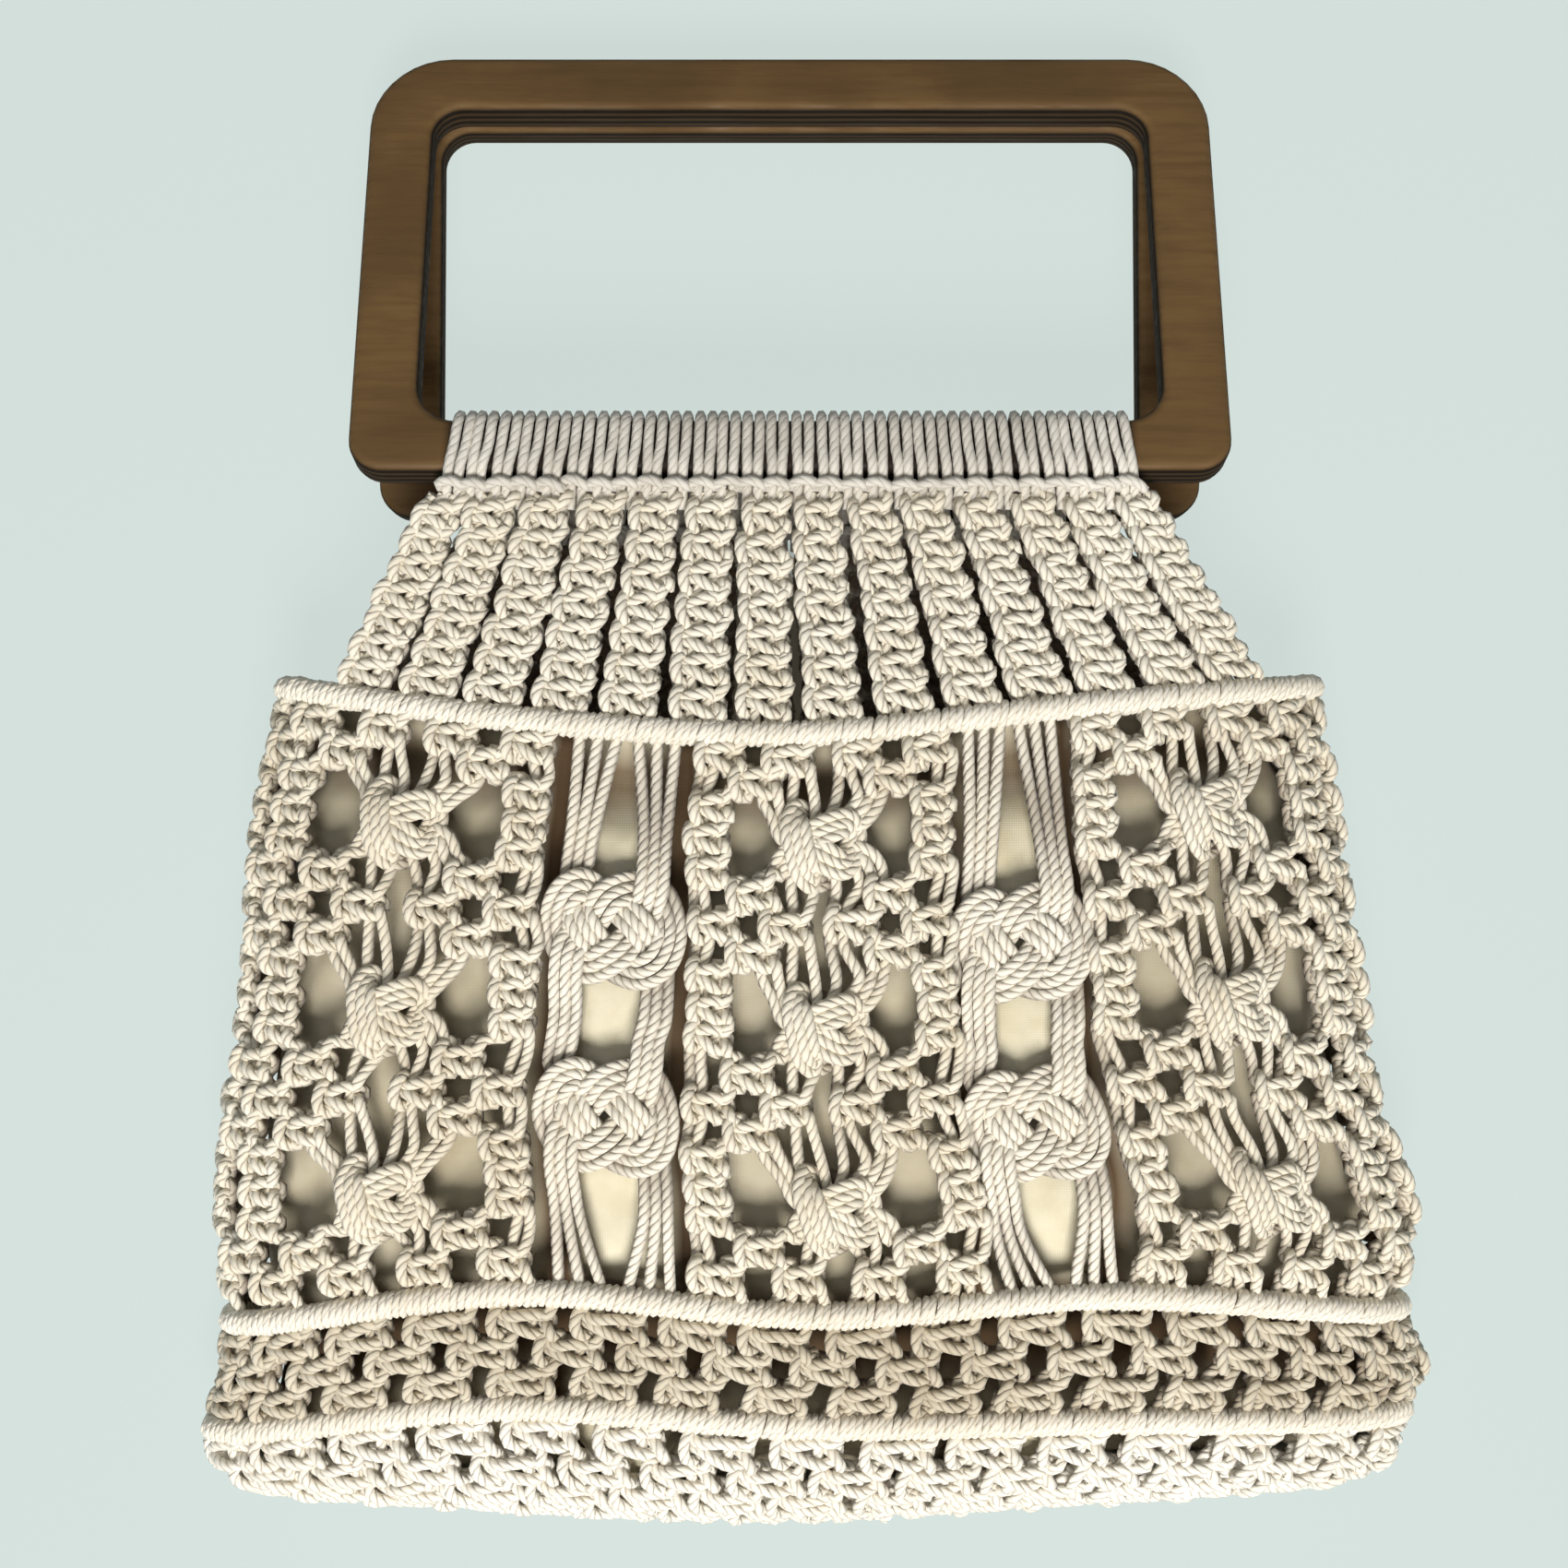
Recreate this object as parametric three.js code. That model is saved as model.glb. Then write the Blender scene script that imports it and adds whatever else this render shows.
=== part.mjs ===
import * as THREE from 'three';

// A macrame bag that lies on its back. X runs across the bag, +Y from its foot to its handles,
// Z up from the surface it lies on. Lengths are millimetres.

// The two wooden hand frames.
const HANDLE_WIDTH = 220;
const HANDLE_HEIGHT = 120;
const HANDLE_THICKNESS = 10;
const TOP_BAR = 16;
const SIDE_BAR = 16.5;
const LOWER_BAR = 14;
const OUTER_TOP_RADIUS = 21;
const OUTER_LOW_RADIUS = 9;
const INNER_TOP_RADIUS = 8;
const INNER_LOW_RADIUS = 10;
const EDGE_ROUND = 2.3;
const FRONT_BAR_HEIGHT = 45.4;
const FRONT_HANDLE_SLIP = 1.3;

// The cord, and what is knotted from it.
const CORD = 3;
const LOOP_ROW = 3.5;
const MOUNTING_OVERRUN = 1;
const RIDGE_DIAMETER = 7;
const RIDGE_SINK = 1;
const NET_WALL = 5;
const KNOT_BULGE = 2.5;
const BARE_CORD_WALL = 3.2;
const SINNET_PITCH = 13.2;
const SINNET_WIDTH = 11.5;
const SINNET_THICKNESS = 6;
const SINNETS_PER_FACE = 14;
const KNOTS_PER_SINNET = 7;

// The body of the bag.
const BODY_WIDTH = 316;
const BODY_LENGTH = 170.5;
const BODY_HEIGHT = 66;
const BASE_DEPTH = 30.5;
const YOKE_LENGTH = 60;
const LINING_WALL = 1;

// Room between neighbours, and between the cloth and the knots that it lies against.
const GAP = 0.3;
const RIM_ROOM = 0.6;
const PANEL_ROOM = 1.1;
const CLOTH_EASE = 1.6;
const CLOTH_TUCK = 3;

// Sections of the body. along runs from the top ridge, 0, to the bottom ridge, 1. left and right
// are the half widths as shares of BODY_WIDTH, and top is the crown as a share of BODY_HEIGHT.
const SECTIONS = [
  { along: 0.0, left: 0.415, right: 0.43, top: 0.92 },
  { along: 0.2, left: 0.438, right: 0.449, top: 0.97 },
  { along: 0.4, left: 0.445, right: 0.465, top: 1.0 },
  { along: 0.55, left: 0.459, right: 0.479, top: 1.0 },
  { along: 0.7, left: 0.465, right: 0.508, top: 0.99 },
  { along: 0.83, left: 0.459, right: 0.5, top: 0.955 },
  { along: 0.92, left: 0.467, right: 0.518, top: 0.9 },
  { along: 1.0, left: 0.478, right: 0.506, top: 0.83 },
];

// How far each section line climbs towards the handles, at its folds, quarters and middle,
// as shares of BODY_LENGTH. The row at 2 is the foot, where the base closes.
const CLIMBS = [
  { along: 0.0, leftFold: 0.08, leftQuarter: 0.028, middle: 0.008, rightQuarter: 0.048, rightFold: 0.082 },
  { along: 0.83, leftFold: -0.042, leftQuarter: 0.034, middle: 0.005, rightQuarter: 0.03, rightFold: -0.02 },
  { along: 1.0, leftFold: -0.044, leftQuarter: 0.023, middle: 0.0, rightQuarter: 0.004, rightFold: -0.015 },
  { along: 1.2, leftFold: -0.04, leftQuarter: 0.021, middle: 0.0, rightQuarter: 0.006, rightFold: -0.01 },
  { along: 2.0, leftFold: 0.05, leftQuarter: 0.008, middle: 0.0, rightQuarter: 0.03, rightFold: 0.06 },
];
const CLIMB_COLUMNS = ['leftFold', 'leftQuarter', 'middle', 'rightQuarter', 'rightFold'];
const CLIMB_PLACES = [-1, -0.5, 0, 0.5, 1];

// Where the middle ridge lies, how high the side folds are against the crown, how boxy the two
// halves of a section are, and how far the foot turns in and narrows.
const MIDDLE_RIDGE = 0.83;
const FOLD_SHARE = 0.45;
const CROWN_POWER = 2.6;
const UNDERSIDE_POWER = 3;
const FOOT_TURN = 0.93 * (Math.PI / 2);
const FOOT_NARROWING = 0.22;
const FACE_STEPS = 48;

// Panels of each face, from the left fold to the right one, as shares of the way across.
const PANELS = [
  { name: 'net', side: 'left', from: 0, to: 0.266 },
  { name: 'josephine', side: 'left', from: 0.266, to: 0.385 },
  { name: 'net', side: 'centre', from: 0.385, to: 0.647 },
  { name: 'josephine', side: 'right', from: 0.647, to: 0.758 },
  { name: 'net', side: 'right', from: 0.758, to: 1 },
];

// Charts of the pierced work, from the top down: # is knotted cord, O a raised knot, . a gap.
// tall is the height of a row against the others, and columns are shares of the panel's width.
const NET_MOTIF = [
  { cells: '#####', tall: 1 },
  { cells: '##.##', tall: 0.7 },
  { cells: '#####', tall: 1 },
  { cells: '#.O.#', tall: 2.9 },
  { cells: '#####', tall: 1 },
];
const NET_LINK = { cells: '##.##', tall: 0.7 };
const NET_HEM = { cells: '#####', tall: 0.5 };
const NET_CHART = [...NET_MOTIF, NET_LINK, ...NET_MOTIF, NET_LINK, ...NET_MOTIF, NET_HEM];
const NET_COLUMNS = [0, 0.17, 0.34, 0.66, 0.83, 1];
const FOLD_COLUMN = 0.08;
const JOSEPHINE_CHART = [
  { cells: '###', tall: 1 },
  { cells: '#.#', tall: 2 },
  { cells: 'OOO', tall: 2.4 },
  { cells: '#.#', tall: 1.1 },
  { cells: 'OOO', tall: 2.2 },
  { cells: '#.#', tall: 2.4 },
  { cells: '###', tall: 1 },
];
const JOSEPHINE_COLUMNS = [0, 0.36, 0.64, 1];
const BAND_FOLD = 0.035;
const BAND_CHART = [
  { cells: '#################', tall: 1 },
  { cells: '##.#.#.#.#.#.#.##', tall: 1 },
  { cells: '#################', tall: 1 },
];
const BASE_CHART = [
  { cells: '##########################', tall: 0.8 },
  { cells: '##.##.#.##.####.##.#.##.##', tall: 1 },
  { cells: '##########################', tall: 1 },
  { cells: '##########################', tall: 1.2 },
];

// The ribs of the yoke: where the outer two meet the top ridge, as shares of the way across, how
// narrow a rib is between its knots, and how far it leans over with the ridge.
const SINNET_FROM = 0.125;
const SINNET_TO = 0.875;
const SINNET_WAIST = 0.8;
const SINNET_LEAN = 0.6;

// How finely the rings and the pouch are cut, and how far down the foot the pouch reaches.
const RIDGE_STEPS = 44;
const RIDGE_SIDES = 5;
const LINING_ROWS = 8;
const LINING_COLUMNS = 30;
const LINING_FOOT = 1.97;

const cordMaterial = (color) => new THREE.MeshStandardMaterial({ color, roughness: 0.9, metalness: 0 });
const woodMaterial = (color) => new THREE.MeshStandardMaterial({ color, roughness: 0.55, metalness: 0 });
const WOOD_COLOUR = 0x5c462d;
const NET_COLOUR = 0xe2dbc6;
const RIDGE_COLOUR = 0xece6d3;
const YOKE_COLOUR = 0xd8d0ba;
const CLOTH_COLOUR = 0xcbbf9c;

// A smooth value between the rows of a table, or between even steps of a list.
function smoothBetween(places, values, at) {
  let i = 0;
  while (i < places.length - 2 && at > places[i + 1]) i += 1;
  const slope = (k) => {
    const low = Math.max(k - 1, 0);
    const high = Math.min(k + 1, places.length - 1);
    return (values[high] - values[low]) / (places[high] - places[low]);
  };
  const step = places[i + 1] - places[i];
  const x = (at - places[i]) / step;
  const startWeight = (1 + 2 * x) * (1 - x) ** 2;
  const endWeight = x * x * (3 - 2 * x);
  const startSlope = x * (1 - x) ** 2 * step;
  const endSlope = x * x * (x - 1) * step;
  const ends = startWeight * values[i] + endWeight * values[i + 1];
  return ends + startSlope * slope(i) + endSlope * slope(i + 1);
}

function column(table, name, along) {
  return smoothBetween(table.map((row) => row.along), table.map((row) => row[name]), along);
}

function climbAt(along, across) {
  const values = CLIMB_COLUMNS.map((name) => column(CLIMBS, name, along));
  return BODY_LENGTH * smoothBetween(CLIMB_PLACES, values, across);
}

// Half of a section, from the left fold to the right one, with the length run so far.
function faceCurve(halfWidth, height, power) {
  const points = [];
  let run = 0;
  for (let i = 0; i <= FACE_STEPS; i += 1) {
    const turn = Math.PI * (1 - i / FACE_STEPS);
    const cosine = Math.cos(turn);
    const x = halfWidth * Math.sign(cosine) * Math.abs(cosine) ** (2 / power);
    const z = height * Math.abs(Math.sin(turn)) ** (2 / power);
    if (i > 0) run += Math.hypot(x - points[i - 1].x, z - points[i - 1].z);
    points.push({ x, z, run });
  }
  return points;
}

function evenPoint(points, share) {
  const target = share * points[points.length - 1].run;
  let i = 1;
  while (i < points.length - 1 && points[i].run < target) i += 1;
  const start = points[i - 1];
  const end = points[i];
  const part = (target - start.run) / (end.run - start.run);
  return { x: start.x + part * (end.x - start.x), z: start.z + part * (end.z - start.z) };
}

// A point of the body: face is front or back, across runs from the left fold, 0, to the right
// one, 1, along from the top ridge, 0, to the bottom ridge, 1, and the foot, 2. inset goes inwards,
// and tuck is what is taken off at each fold besides.
function bodyPoint(face, across, along, inset = 0, tuck = 0) {
  const down = Math.min(along, 1);
  const turn = Math.max(along - 1, 0) * FOOT_TURN;
  const closing = Math.cos(turn);
  const left = BODY_WIDTH * column(SECTIONS, 'left', down);
  const right = BODY_WIDTH * column(SECTIONS, 'right', down);
  const crown = BODY_HEIGHT * column(SECTIONS, 'top', down);
  const underside = RIDGE_DIAMETER / 2 - RIDGE_SINK + GAP;
  const fold = FOLD_SHARE * crown;
  const halfWidth = ((left + right) / 2 - inset - tuck) * (1 - FOOT_NARROWING * (1 - closing));
  const onFront = face === 'front';
  const height = (onFront ? crown - fold : fold - underside) - inset;
  const curve = faceCurve(halfWidth, height * closing, onFront ? CROWN_POWER : UNDERSIDE_POWER);
  const { x, z } = evenPoint(curve, across);
  const depth = (BASE_DEPTH - inset) * Math.sin(turn);
  const y = climbAt(along, x / halfWidth) - BODY_LENGTH * down - depth;
  return new THREE.Vector3((right - left) / 2 + x, y, onFront ? fold + z : fold - z);
}

// The point k steps of n round the whole section: over the front, then back along the underside.
function loopPoint(k, n, along, inset, tuck) {
  const share = (2 * (k % n)) / n;
  if (share <= 1) return bodyPoint('front', share, along, inset, tuck);
  return bodyPoint('back', 2 - share, along, inset, tuck);
}

function addTriangle(corners, a, b, c) {
  if (a.equals(b) || b.equals(c) || c.equals(a)) return;
  corners.push(a, b, c);
}

function addQuad(corners, a, b, c, d) {
  addTriangle(corners, a, b, c);
  addTriangle(corners, a, c, d);
}

// One closed body from its triangles' corners, with its faces pointing out.
function closedBody(corners) {
  let volume = 0;
  for (let i = 0; i < corners.length; i += 3) {
    volume += corners[i].dot(corners[i + 1].clone().cross(corners[i + 2]));
  }
  const facing = [];
  for (let i = 0; i < corners.length; i += 3) {
    const [a, b, c] = corners.slice(i, i + 3);
    facing.push(...(volume < 0 ? [a, c, b] : [a, b, c]));
  }
  const geometry = new THREE.BufferGeometry().setFromPoints(facing);
  geometry.computeVertexNormals();
  return geometry;
}

// A body through a row of rings with as many points each, closed by caps or round on itself.
function loft(rings, roundOnItself = false) {
  const corners = [];
  const sides = rings[0].length;
  const last = roundOnItself ? rings.length : rings.length - 1;
  for (let r = 0; r < last; r += 1) {
    const start = rings[r];
    const end = rings[(r + 1) % rings.length];
    for (let k = 0; k < sides; k += 1) {
      const next = (k + 1) % sides;
      addQuad(corners, start[k], start[next], end[next], end[k]);
    }
  }
  if (!roundOnItself) {
    const first = rings[0];
    const final = rings[rings.length - 1];
    for (let k = 1; k < sides - 1; k += 1) {
      addTriangle(corners, first[0], first[k + 1], first[k]);
      addTriangle(corners, final[0], final[k], final[k + 1]);
    }
  }
  return closedBody(corners);
}

function cellAt(chart, r, c) {
  return chart[r]?.cells[c];
}

// The share of a chart's height that lies above row r.
function heightAbove(chart, r) {
  const sum = (rows) => rows.reduce((total, row) => total + row.tall, 0);
  return sum(chart.slice(0, r)) / sum(chart);
}

// Pierced work with an outer and an inner skin and walls round every gap of its chart.
// point(row, column, layer) gives a corner of a square, and layer is outer or inner.
function pierced(chart, point, isRound = false) {
  const corners = [];
  const width = chart[0].cells.length;
  const solid = (r, c) => {
    const cell = cellAt(chart, r, isRound ? (c + width) % width : c);
    return cell !== undefined && cell !== '.';
  };
  for (let r = 0; r < chart.length; r += 1) {
    for (let c = 0; c < width; c += 1) {
      if (!solid(r, c)) continue;
      const places = [[r, c], [r, c + 1], [r + 1, c + 1], [r + 1, c]];
      const outer = places.map((place) => point(...place, 'outer'));
      const inner = places.map((place) => point(...place, 'inner'));
      addQuad(corners, outer[0], outer[3], outer[2], outer[1]);
      addQuad(corners, ...inner);
      const neighbours = [solid(r - 1, c), solid(r, c + 1), solid(r + 1, c), solid(r, c - 1)];
      const atFoot = isRound && r === chart.length - 1;
      neighbours.forEach((covered, k) => {
        const next = (k + 1) % 4;
        if (covered || (atFoot && k === 2)) return;
        addQuad(corners, outer[k], outer[next], inner[next], inner[k]);
      });
    }
  }
  return corners;
}

// The height of a corner of a chart: a raised knot stands out by KNOT_BULGE.
function bulgeAt(chart, r, c) {
  const touching = [[r - 1, c - 1], [r - 1, c], [r, c - 1], [r, c]];
  return touching.some(([i, k]) => cellAt(chart, i, k) === 'O') ? KNOT_BULGE : 0;
}

// The net's chart and columns. A side panel has one more column of cord, narrow, at its fold.
function netChart(side) {
  if (side === 'centre') return { chart: NET_CHART, columns: NET_COLUMNS };
  const chart = NET_CHART.map(({ cells, tall }) => ({ cells: `#${cells}`, tall }));
  const fromFold = [0, FOLD_COLUMN, ...NET_COLUMNS.slice(1)];
  if (side === 'left') return { chart, columns: fromFold };
  return { chart: NET_CHART.map(({ cells, tall }) => ({ cells: `${cells}#`, tall })),
    columns: fromFold.map((share) => 1 - share).reverse() };
}

function bandColumns() {
  const between = BAND_CHART[0].cells.length - 2;
  const even = Array.from({ length: between + 1 }, (_, k) => BAND_FOLD + ((1 - 2 * BAND_FOLD) * k) / between);
  return [0, ...even, 1];
}

function panelBody(face, chart, columns, panel, rows, wall) {
  const trim = PANEL_ROOM / 2 / BODY_WIDTH;
  const from = panel.from + trim;
  const to = panel.to - trim;
  const point = (r, c, layer) => {
    const across = from + (to - from) * columns[c];
    const along = rows.from + (rows.to - rows.from) * heightAbove(chart, r);
    const inset = layer === 'outer' ? -bulgeAt(chart, r, c) : wall;
    return bodyPoint(face, across, along, inset);
  };
  return closedBody(pierced(chart, point));
}

// A pouch round the whole body, from an open rim down to the foot, where its two faces join.
function pouchBody(chart, rim, foot, outerInset, innerInset, tuck) {
  const width = chart[0].cells.length;
  const insets = { outer: outerInset, inner: innerInset };
  const alongAt = (r) => rim + (foot - rim) * heightAbove(chart, r);
  const point = (r, c, layer) => loopPoint(c, width, alongAt(r), insets[layer], tuck);
  const corners = pierced(chart, point, true);
  for (let k = 0; k < width / 2; k += 1) {
    const seam = [k, k + 1, width - k - 1, width - k];
    const outer = seam.map((c) => point(chart.length, c, 'outer'));
    const inner = seam.map((c) => point(chart.length, c, 'inner'));
    addQuad(corners, outer[0], outer[3], outer[2], outer[1]);
    addQuad(corners, ...inner);
  }
  return closedBody(corners);
}

function ridgeBody(along) {
  const rings = [];
  for (let k = 0; k < RIDGE_STEPS; k += 1) {
    const centre = loopPoint(k, RIDGE_STEPS, along, RIDGE_SINK);
    const outwards = loopPoint(k, RIDGE_STEPS, along, RIDGE_SINK - 1).sub(centre).normalize();
    const ring = [];
    for (let side = 0; side < RIDGE_SIDES; side += 1) {
      const turn = (2 * Math.PI * side) / RIDGE_SIDES;
      const point = centre.clone().addScaledVector(outwards, (RIDGE_DIAMETER / 2) * Math.cos(turn));
      point.y += (RIDGE_DIAMETER / 2) * Math.sin(turn);
      ring.push(point);
    }
    rings.push(ring);
  }
  return loft(rings, true);
}

// A rounded rectangle with its own radius at the top and at the bottom corners.
function roundedOutline(path, left, bottom, right, top, topRadius, lowRadius) {
  path.moveTo(left + lowRadius, bottom);
  path.absarc(right - lowRadius, bottom + lowRadius, lowRadius, -Math.PI / 2, 0, false);
  path.absarc(right - topRadius, top - topRadius, topRadius, 0, Math.PI / 2, false);
  path.absarc(left + topRadius, top - topRadius, topRadius, Math.PI / 2, Math.PI, false);
  path.absarc(left + lowRadius, bottom + lowRadius, lowRadius, Math.PI, Math.PI * 1.5, false);
  return path;
}

function handleBody() {
  const half = HANDLE_WIDTH / 2;
  const outline = roundedOutline(
    new THREE.Shape(), -half, 0, half, HANDLE_HEIGHT, OUTER_TOP_RADIUS, OUTER_LOW_RADIUS);
  const opening = roundedOutline(
    new THREE.Path(), SIDE_BAR - half, LOWER_BAR, half - SIDE_BAR, HANDLE_HEIGHT - TOP_BAR,
    INNER_TOP_RADIUS, INNER_LOW_RADIUS);
  outline.holes.push(opening);
  const geometry = new THREE.ExtrudeGeometry(outline, {
    depth: HANDLE_THICKNESS - 2 * EDGE_ROUND,
    bevelThickness: EDGE_ROUND,
    bevelSize: EDGE_ROUND,
    bevelOffset: -EDGE_ROUND,
    bevelSegments: 2,
    curveSegments: 2,
  });
  return geometry.translate(0, 0, EDGE_ROUND);
}

// The wraps round the lower bar, with the row of loops that hangs under them.
function mountingBody() {
  const bar = GAP + CORD;
  const outline = roundedOutline(
    new THREE.Shape(), -HANDLE_THICKNESS - bar, -GAP - CORD - LOOP_ROW, bar, LOWER_BAR + bar, CORD, CORD);
  const hole = roundedOutline(
    new THREE.Path(), -HANDLE_THICKNESS - GAP, -GAP, GAP, LOWER_BAR + GAP, CORD / 4, CORD / 4);
  outline.holes.push(hole);
  const length = mountingLength();
  const options = { depth: length, bevelEnabled: false, curveSegments: 1 };
  const geometry = new THREE.ExtrudeGeometry(outline, options);
  return geometry.rotateY(Math.PI / 2).translate(-length / 2, 0, 0);
}

function mountingLength() {
  return HANDLE_WIDTH - 2 * (SIDE_BAR + INNER_LOW_RADIUS - MOUNTING_OVERRUN);
}

// A rib of square knots from the loops under a handle to the top ridge.
function sinnetBody(face, index, handle) {
  const middle = (SINNETS_PER_FACE - 1) / 2;
  const start = handle.localToWorld(new THREE.Vector3(
    (index - middle) * SINNET_PITCH, -2 * GAP - CORD - LOOP_ROW, HANDLE_THICKNESS / 2));
  const across = SINNET_FROM + ((SINNET_TO - SINNET_FROM) * index) / (SINNETS_PER_FACE - 1);
  const end = bodyPoint(face, across, 0, SINNET_THICKNESS / 2);
  end.y += RIDGE_DIAMETER / 2 + GAP;
  const step = 1 / FACE_STEPS;
  const edge = bodyPoint(face, across + step, 0).sub(bodyPoint(face, across - step, 0)).normalize();
  const path = end.clone().sub(start);
  const frameNormal = new THREE.Vector3(0, 0, 1).transformDirection(handle.matrixWorld);
  const stations = 2 * KNOTS_PER_SINNET;
  const rings = [];
  for (let s = 0; s <= stations; s += 1) {
    const share = s / stations;
    const swell = s % 2 === 1 ? 1 : SINNET_WAIST;
    const centre = start.clone().addScaledVector(path, share);
    const sideways = new THREE.Vector3(1, 0, 0).lerp(edge, share * SINNET_LEAN).normalize();
    const overPath = sideways.clone().cross(path).normalize();
    const upwards = frameNormal.clone().lerp(overPath, share).normalize();
    const wide = sideways.multiplyScalar((SINNET_WIDTH / 2) * swell);
    const thick = upwards.multiplyScalar((SINNET_THICKNESS / 2) * swell);
    rings.push([
      centre.clone().add(wide).add(thick),
      centre.clone().sub(wide).add(thick),
      centre.clone().sub(wide).sub(thick),
      centre.clone().add(wide).sub(thick),
    ]);
  }
  return loft(rings);
}

function mesh(name, geometry, material) {
  const piece = new THREE.Mesh(geometry, material);
  piece.name = name;
  return piece;
}

const bag = new THREE.Group();

// The back handle lies on its wraps and its top bar, the front handle on the back one's top bar.
const backTilt = Math.asin((CORD + 2 * GAP) / (HANDLE_HEIGHT - LOWER_BAR - CORD));
const backBarHeight = HANDLE_HEIGHT * Math.sin(backTilt);
const restHeight = HANDLE_THICKNESS * Math.cos(backTilt) + GAP;
const frontTilt = Math.asin((FRONT_BAR_HEIGHT - restHeight) / HANDLE_HEIGHT);
const frontShift = HANDLE_HEIGHT * (Math.cos(backTilt) - Math.cos(frontTilt)) - FRONT_HANDLE_SLIP;
const FACES = [
  { face: 'front', tilt: frontTilt, y: YOKE_LENGTH + frontShift, z: FRONT_BAR_HEIGHT },
  { face: 'back', tilt: backTilt, y: YOKE_LENGTH, z: backBarHeight },
];

const ridgeRoom = (RIDGE_DIAMETER / 2 + RIM_ROOM) / BODY_LENGTH;
const mainRows = { from: ridgeRoom, to: MIDDLE_RIDGE - ridgeRoom };
const bandRows = { from: MIDDLE_RIDGE + ridgeRoom, to: 1 - ridgeRoom };
const baseRoom = Math.asin((RIDGE_DIAMETER / 2 + RIM_ROOM) / BASE_DEPTH) / FOOT_TURN;

for (const { face, tilt, y, z } of FACES) {
  const handle = new THREE.Group();
  handle.position.set(0, y, z);
  handle.rotation.x = -tilt;
  handle.add(mesh(`handle_${face}`, handleBody(), woodMaterial(WOOD_COLOUR)));
  handle.add(mesh(`mounting_${face}`, mountingBody(), cordMaterial(YOKE_COLOUR)));
  handle.updateMatrixWorld(true);
  bag.add(handle);

  for (let index = 0; index < SINNETS_PER_FACE; index += 1) {
    const number = String(index + 1).padStart(2, '0');
    bag.add(mesh(`sinnet_${face}_${number}`, sinnetBody(face, index, handle), cordMaterial(YOKE_COLOUR)));
  }

  for (const panel of PANELS) {
    const isNet = panel.name === 'net';
    const josephine = { chart: JOSEPHINE_CHART, columns: JOSEPHINE_COLUMNS };
    const { chart, columns } = isNet ? netChart(panel.side) : josephine;
    const wall = isNet ? NET_WALL : BARE_CORD_WALL;
    const body = panelBody(face, chart, columns, panel, mainRows, wall);
    bag.add(mesh(`${panel.name}_${face}_${panel.side}`, body, cordMaterial(NET_COLOUR)));
  }

  const band = panelBody(face, BAND_CHART, bandColumns(), { from: 0, to: 1 }, bandRows, NET_WALL);
  bag.add(mesh(`band_${face}`, band, cordMaterial(NET_COLOUR)));
}

bag.add(mesh('ridge_top', ridgeBody(0), cordMaterial(RIDGE_COLOUR)));
bag.add(mesh('ridge_middle', ridgeBody(MIDDLE_RIDGE), cordMaterial(RIDGE_COLOUR)));
bag.add(mesh('ridge_bottom', ridgeBody(1), cordMaterial(RIDGE_COLOUR)));
bag.add(mesh('base_net', pouchBody(BASE_CHART, 1 + baseRoom, 2, 0, NET_WALL, 0), cordMaterial(NET_COLOUR)));

const liningChart = Array(LINING_ROWS).fill({ cells: '#'.repeat(LINING_COLUMNS), tall: 1 });
const liningInset = NET_WALL + CLOTH_EASE;
const lining = pouchBody(liningChart, 0, LINING_FOOT, liningInset, liningInset + LINING_WALL, CLOTH_TUCK);
bag.add(mesh('lining', lining, cordMaterial(CLOTH_COLOUR)));

// The origin is the middle of the ground that the bag covers.
const box = new THREE.Box3().setFromObject(bag);
bag.position.set(-(box.min.x + box.max.x) / 2, -(box.min.y + box.max.y) / 2, -box.min.z);

export default bag;
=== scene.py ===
# %% [markdown]
# A macrame bag lies on its back, seen from straight above. Its body is knotted from cotton cord,
# 3 mm thick, over a cloth pouch, and it hangs from two plywood hand frames. Knots could be bumps
# on smooth sheets, but then the gaps between the cords would be missing, and the outline too
# smooth. So every cord is a line of points that runs through its knots, and becomes a tube.

import itertools
import math

import bmesh
import bpy
import numpy as np
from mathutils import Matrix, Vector


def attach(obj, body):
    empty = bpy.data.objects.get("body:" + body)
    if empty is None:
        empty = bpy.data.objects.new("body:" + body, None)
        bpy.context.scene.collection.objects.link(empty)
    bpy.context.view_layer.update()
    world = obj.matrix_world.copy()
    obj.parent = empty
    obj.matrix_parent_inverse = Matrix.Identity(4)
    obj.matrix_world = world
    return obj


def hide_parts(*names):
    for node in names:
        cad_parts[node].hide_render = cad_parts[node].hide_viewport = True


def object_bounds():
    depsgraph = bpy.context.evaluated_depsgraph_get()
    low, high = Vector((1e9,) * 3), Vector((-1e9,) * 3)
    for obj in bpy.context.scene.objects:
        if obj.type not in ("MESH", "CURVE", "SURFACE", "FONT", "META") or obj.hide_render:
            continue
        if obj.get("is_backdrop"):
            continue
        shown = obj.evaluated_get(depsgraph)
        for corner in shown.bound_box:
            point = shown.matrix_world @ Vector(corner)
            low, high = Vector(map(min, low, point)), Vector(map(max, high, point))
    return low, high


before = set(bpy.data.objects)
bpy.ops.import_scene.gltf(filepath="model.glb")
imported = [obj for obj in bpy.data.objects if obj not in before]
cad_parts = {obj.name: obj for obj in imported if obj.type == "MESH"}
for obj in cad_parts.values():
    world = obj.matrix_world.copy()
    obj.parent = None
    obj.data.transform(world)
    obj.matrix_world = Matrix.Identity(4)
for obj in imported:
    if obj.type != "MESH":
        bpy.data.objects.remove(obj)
cad_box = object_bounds()



def new_object(name, data):
    """An object with its data, put into the scene."""
    made = bpy.data.objects.new(name, data)
    bpy.context.collection.objects.link(made)
    return made


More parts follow.
